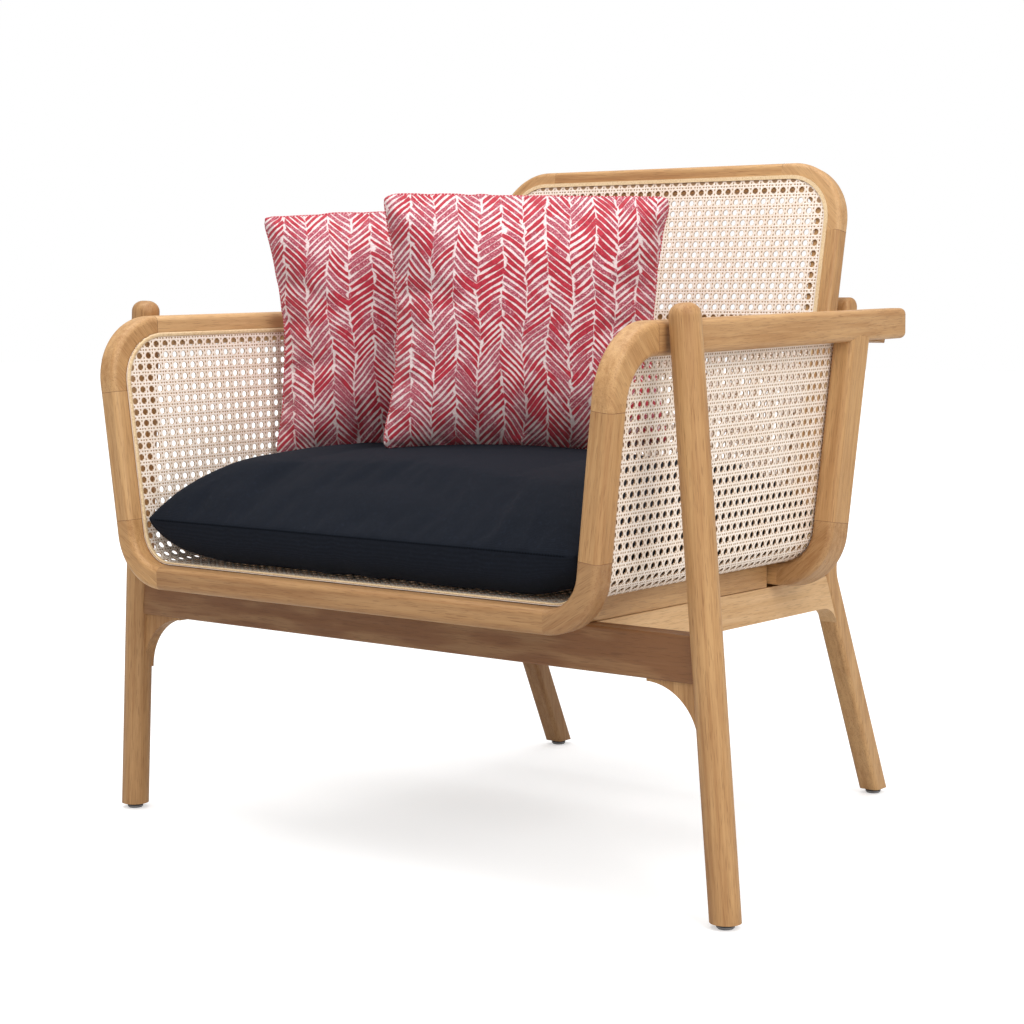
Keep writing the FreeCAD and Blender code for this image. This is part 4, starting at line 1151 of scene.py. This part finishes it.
def edging_material(pillows):
    material, net = new_material("pillow_edging")
    parts = net.parts(net.uv())
    slope = net.times_plus(parts[1], 0.9, net.times(parts[0], 260))
    turn = net.off_middle(slope)
    net.finish(net.mix(net.step(turn, 0.3, 0.42, 0, 0.75), pillows.red, pillows.pale), 0.85,
               (turn, 0.0008, 0.8))
    return material


PILLOW_WIDE, PILLOW_TALL = 0.335, 0.291
PILLOW_YAW, PILLOW_LEAN = 40.0, 3.0
PILLOWS = {
    # node: foot point (x, y, z), roll, pattern shift
    "left_pillow": ((-0.172, -0.03607, 0.42466), 2.6, (0.011, 0.003, 0)),
    "right_pillow": ((0.017, -0.05907, 0.43667), -0.3, (0.004, 0.0, 0)),
}


class CHAIR_OT_pillows(bpy.types.Operator):
    """Fills both pillows, weaves their zigzag and binds their edges"""
    bl_idname = "chair.pillows"
    bl_label = "Pillows"

    def execute(self, context):
        settings = context.scene.chair_cushions
        pillows = context.scene.chair_pillows
        group, binding = zigzag_group(), edging_material(pillows)
        yaw, lean = math.radians(PILLOW_YAW), math.radians(PILLOW_LEAN)
        x_flat = Vector((math.cos(yaw), math.sin(yaw), 0))
        y_flat = Vector((-math.sin(lean) * math.sin(yaw), math.sin(lean) * math.cos(yaw),
                         math.cos(lean)))
        for node, (foot, roll, shift) in PILLOWS.items():
            turn = Matrix.Rotation(math.radians(roll), 3, x_flat.cross(y_flat))
            x_way, y_way = turn @ x_flat, turn @ y_flat
            centre = Vector(foot) + y_way * (PILLOW_TALL / 2)
            middle, axes = np.array(centre), np.array((x_way, y_way, x_way.cross(y_way)))
            obj = soft_copy(node + "_cover", node, inset=0.0015)
            puff(obj, settings, lambda co: (co - middle) @ axes[2], cap=0.012, shrink=-0.03,
                 tension=9)
            smooth_mesh(obj, repeats=2)
            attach(obj, node + "_body")
            store_uv(obj, (vertices_of(obj) - middle) @ axes[:2].T)
            obj.data.materials.append(pillow_material(node + "_weave", group, pillows,
                                                      shift))
            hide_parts(node)
            points = seam_path(obj, centre, x_way, y_way, PILLOW_WIDE / 2,
                               PILLOW_TALL / 2, count=360, sunk=0.0004)
            edging = tube(node + "_edging", points, 0.0016, node + "_body", binding)
        return {"FINISHED"}


# Stage.

class ChairStageSettings(bpy.types.PropertyGroup):
    lens: number_value("Lens", "Focal length on a 36 mm sensor", 78.12, 10, 300, "CAMERA")
    azimuth: number_value("Azimuth", "How far the camera stands to the right",
                          math.radians(37.95), -math.pi, math.pi, "ROTATION")
    dip: number_value("Dip", "How far the camera looks down", math.radians(5.62),
                      -math.pi / 2, math.pi / 2, "ROTATION")
    ambient: number_value("Ambient", "Strength of the light from all round", 0.62, 0, 3)
    floor: colour_value("Floor", "Colour of the floor", (0.7, 0.7, 0.7))


FLOOR_REACH = 14
CAMERA_AT = (1.5541, -2.05517, 0.6147)
LIGHT_AIM = Vector((0, 0, 0.4))
LIGHTS = {
    # place, size, power
    "key_light": ((1.3, -2.9, 2.7), 0.6, 16),
    "side_light": ((3.0, -1.2, 2.4), 1.8, 58),
    "top_light": ((-0.2, -0.4, 3.4), 2.6, 76),
}


def stage_object(name, data, place=(0, 0, 0), way=None):
    obj = bpy.data.objects.new(name, data)
    obj.location = place
    if way is not None:
        obj.rotation_euler = way.to_track_quat("-Z", "Y").to_euler()
    bpy.context.scene.collection.objects.link(obj)
    return obj


def floor_material(stage):
    material, net = new_material("pale_floor")
    place = net.place()
    bright = tuple(min(1, c * 1.02) for c in stage.floor)
    # The floor's own glow is seen, but doesn't light the chair from below.
    away = net.add("VectorMath", {0: place}, operation="LENGTH")
    glow = net.times(net.step(away.outputs["Value"], 1.0, 3.5, 0.5, 0.8),
                     net.add("LightPath").outputs["Is Camera Ray"])
    net.finish(net.mix(net.noise(place, 1.5, 2), stage.floor, bright), 0.9,
               Specular_IOR_Level=0.1, Emission_Color=net.mix(glow, (0, 0, 0), (1, 1, 1)),
               Emission_Strength=1.0)
    return material


class CHAIR_OT_stage(bpy.types.Operator):
    """Sets up the floor, the lights and the camera"""
    bl_idname = "chair.stage"
    bl_label = "Stage"

    def execute(self, context):
        stage = context.scene.chair_stage
        scene = context.scene
        mesh = bpy.data.meshes.new("studio_floor")
        corners = ((-1, -1), (1, -1), (1, 1), (-1, 1))
        mesh.from_pydata([(x * FLOOR_REACH, y * FLOOR_REACH, 0) for x, y in corners], [],
                         [(0, 1, 2, 3)])
        mesh.materials.append(floor_material(stage))
        floor = stage_object("studio_floor", mesh)

        world = bpy.data.worlds.new("studio")
        world.use_nodes = True
        background = world.node_tree.nodes["Background"].inputs
        net = Net(world.node_tree)
        # The backdrop is seen white, while the room itself lights more gently.
        seen = net.add("LightPath").outputs["Is Camera Ray"]
        net.put(background[0], (1, 1, 1))
        net.put(background[1], net.times_plus(seen, 1 - stage.ambient, stage.ambient))
        scene.world = world
        scene.view_settings.view_transform = "Standard"

        for name, (place, size, power) in LIGHTS.items():
            light = bpy.data.lights.new(name, "AREA")
            light.size = size
            light.energy = power
            stage_object(name, light, place, LIGHT_AIM - Vector(place))

        camera = bpy.data.cameras.new("camera")
        camera.sensor_width = 36
        camera.lens = stage.lens
        camera.clip_start, camera.clip_end = 0.05, 60
        a, p = stage.azimuth, stage.dip
        look = Vector((-math.sin(a) * math.cos(p), math.cos(a) * math.cos(p), -math.sin(p)))
        scene.camera = stage_object("camera", camera, CAMERA_AT, look)
        return {"FINISHED"}


class CHAIR_PT_panel(bpy.types.Panel):
    """Shows the chair's steps and their settings"""
    bl_idname = "CHAIR_PT_panel"
    bl_label = "Cane armchair"
    bl_space_type = "VIEW_3D"
    bl_region_type = "UI"
    bl_category = "Chair"

    def draw(self, context):
        for operator in OPERATORS:
            self.layout.operator(operator.bl_idname)
        for name in SETTINGS:
            box = self.layout.box()
            group = getattr(context.scene, name)
            for key in group.__annotations__:
                box.prop(group, key)


SETTINGS = {
    "chair_wood": ChairWoodSettings,
    "chair_cane": ChairCaneSettings,
    "chair_cushions": ChairCushionSettings,
    "chair_pillows": ChairPillowSettings,
    "chair_stage": ChairStageSettings,
}
OPERATORS = (CHAIR_OT_stage, CHAIR_OT_wood, CHAIR_OT_glides, CHAIR_OT_cane,
             CHAIR_OT_seat_cushion, CHAIR_OT_pillows)


def register():
    for cls in (*SETTINGS.values(), *OPERATORS, CHAIR_PT_panel):
        bpy.utils.register_class(cls)
    for name, cls in SETTINGS.items():
        setattr(bpy.types.Scene, name, PointerProperty(type=cls))


def unregister():
    for name in SETTINGS:
        delattr(bpy.types.Scene, name)
    for cls in reversed((*SETTINGS.values(), *OPERATORS, CHAIR_PT_panel)):
        bpy.utils.unregister_class(cls)


def main():
    register()
    bpy.ops.chair.stage()
    bpy.ops.chair.wood()
    bpy.ops.chair.glides()
    bpy.ops.chair.cane()
    bpy.ops.chair.seat_cushion()
    bpy.ops.chair.pillows()
    bpy.context.view_layer.update()


if __name__ == "__main__":
    main()
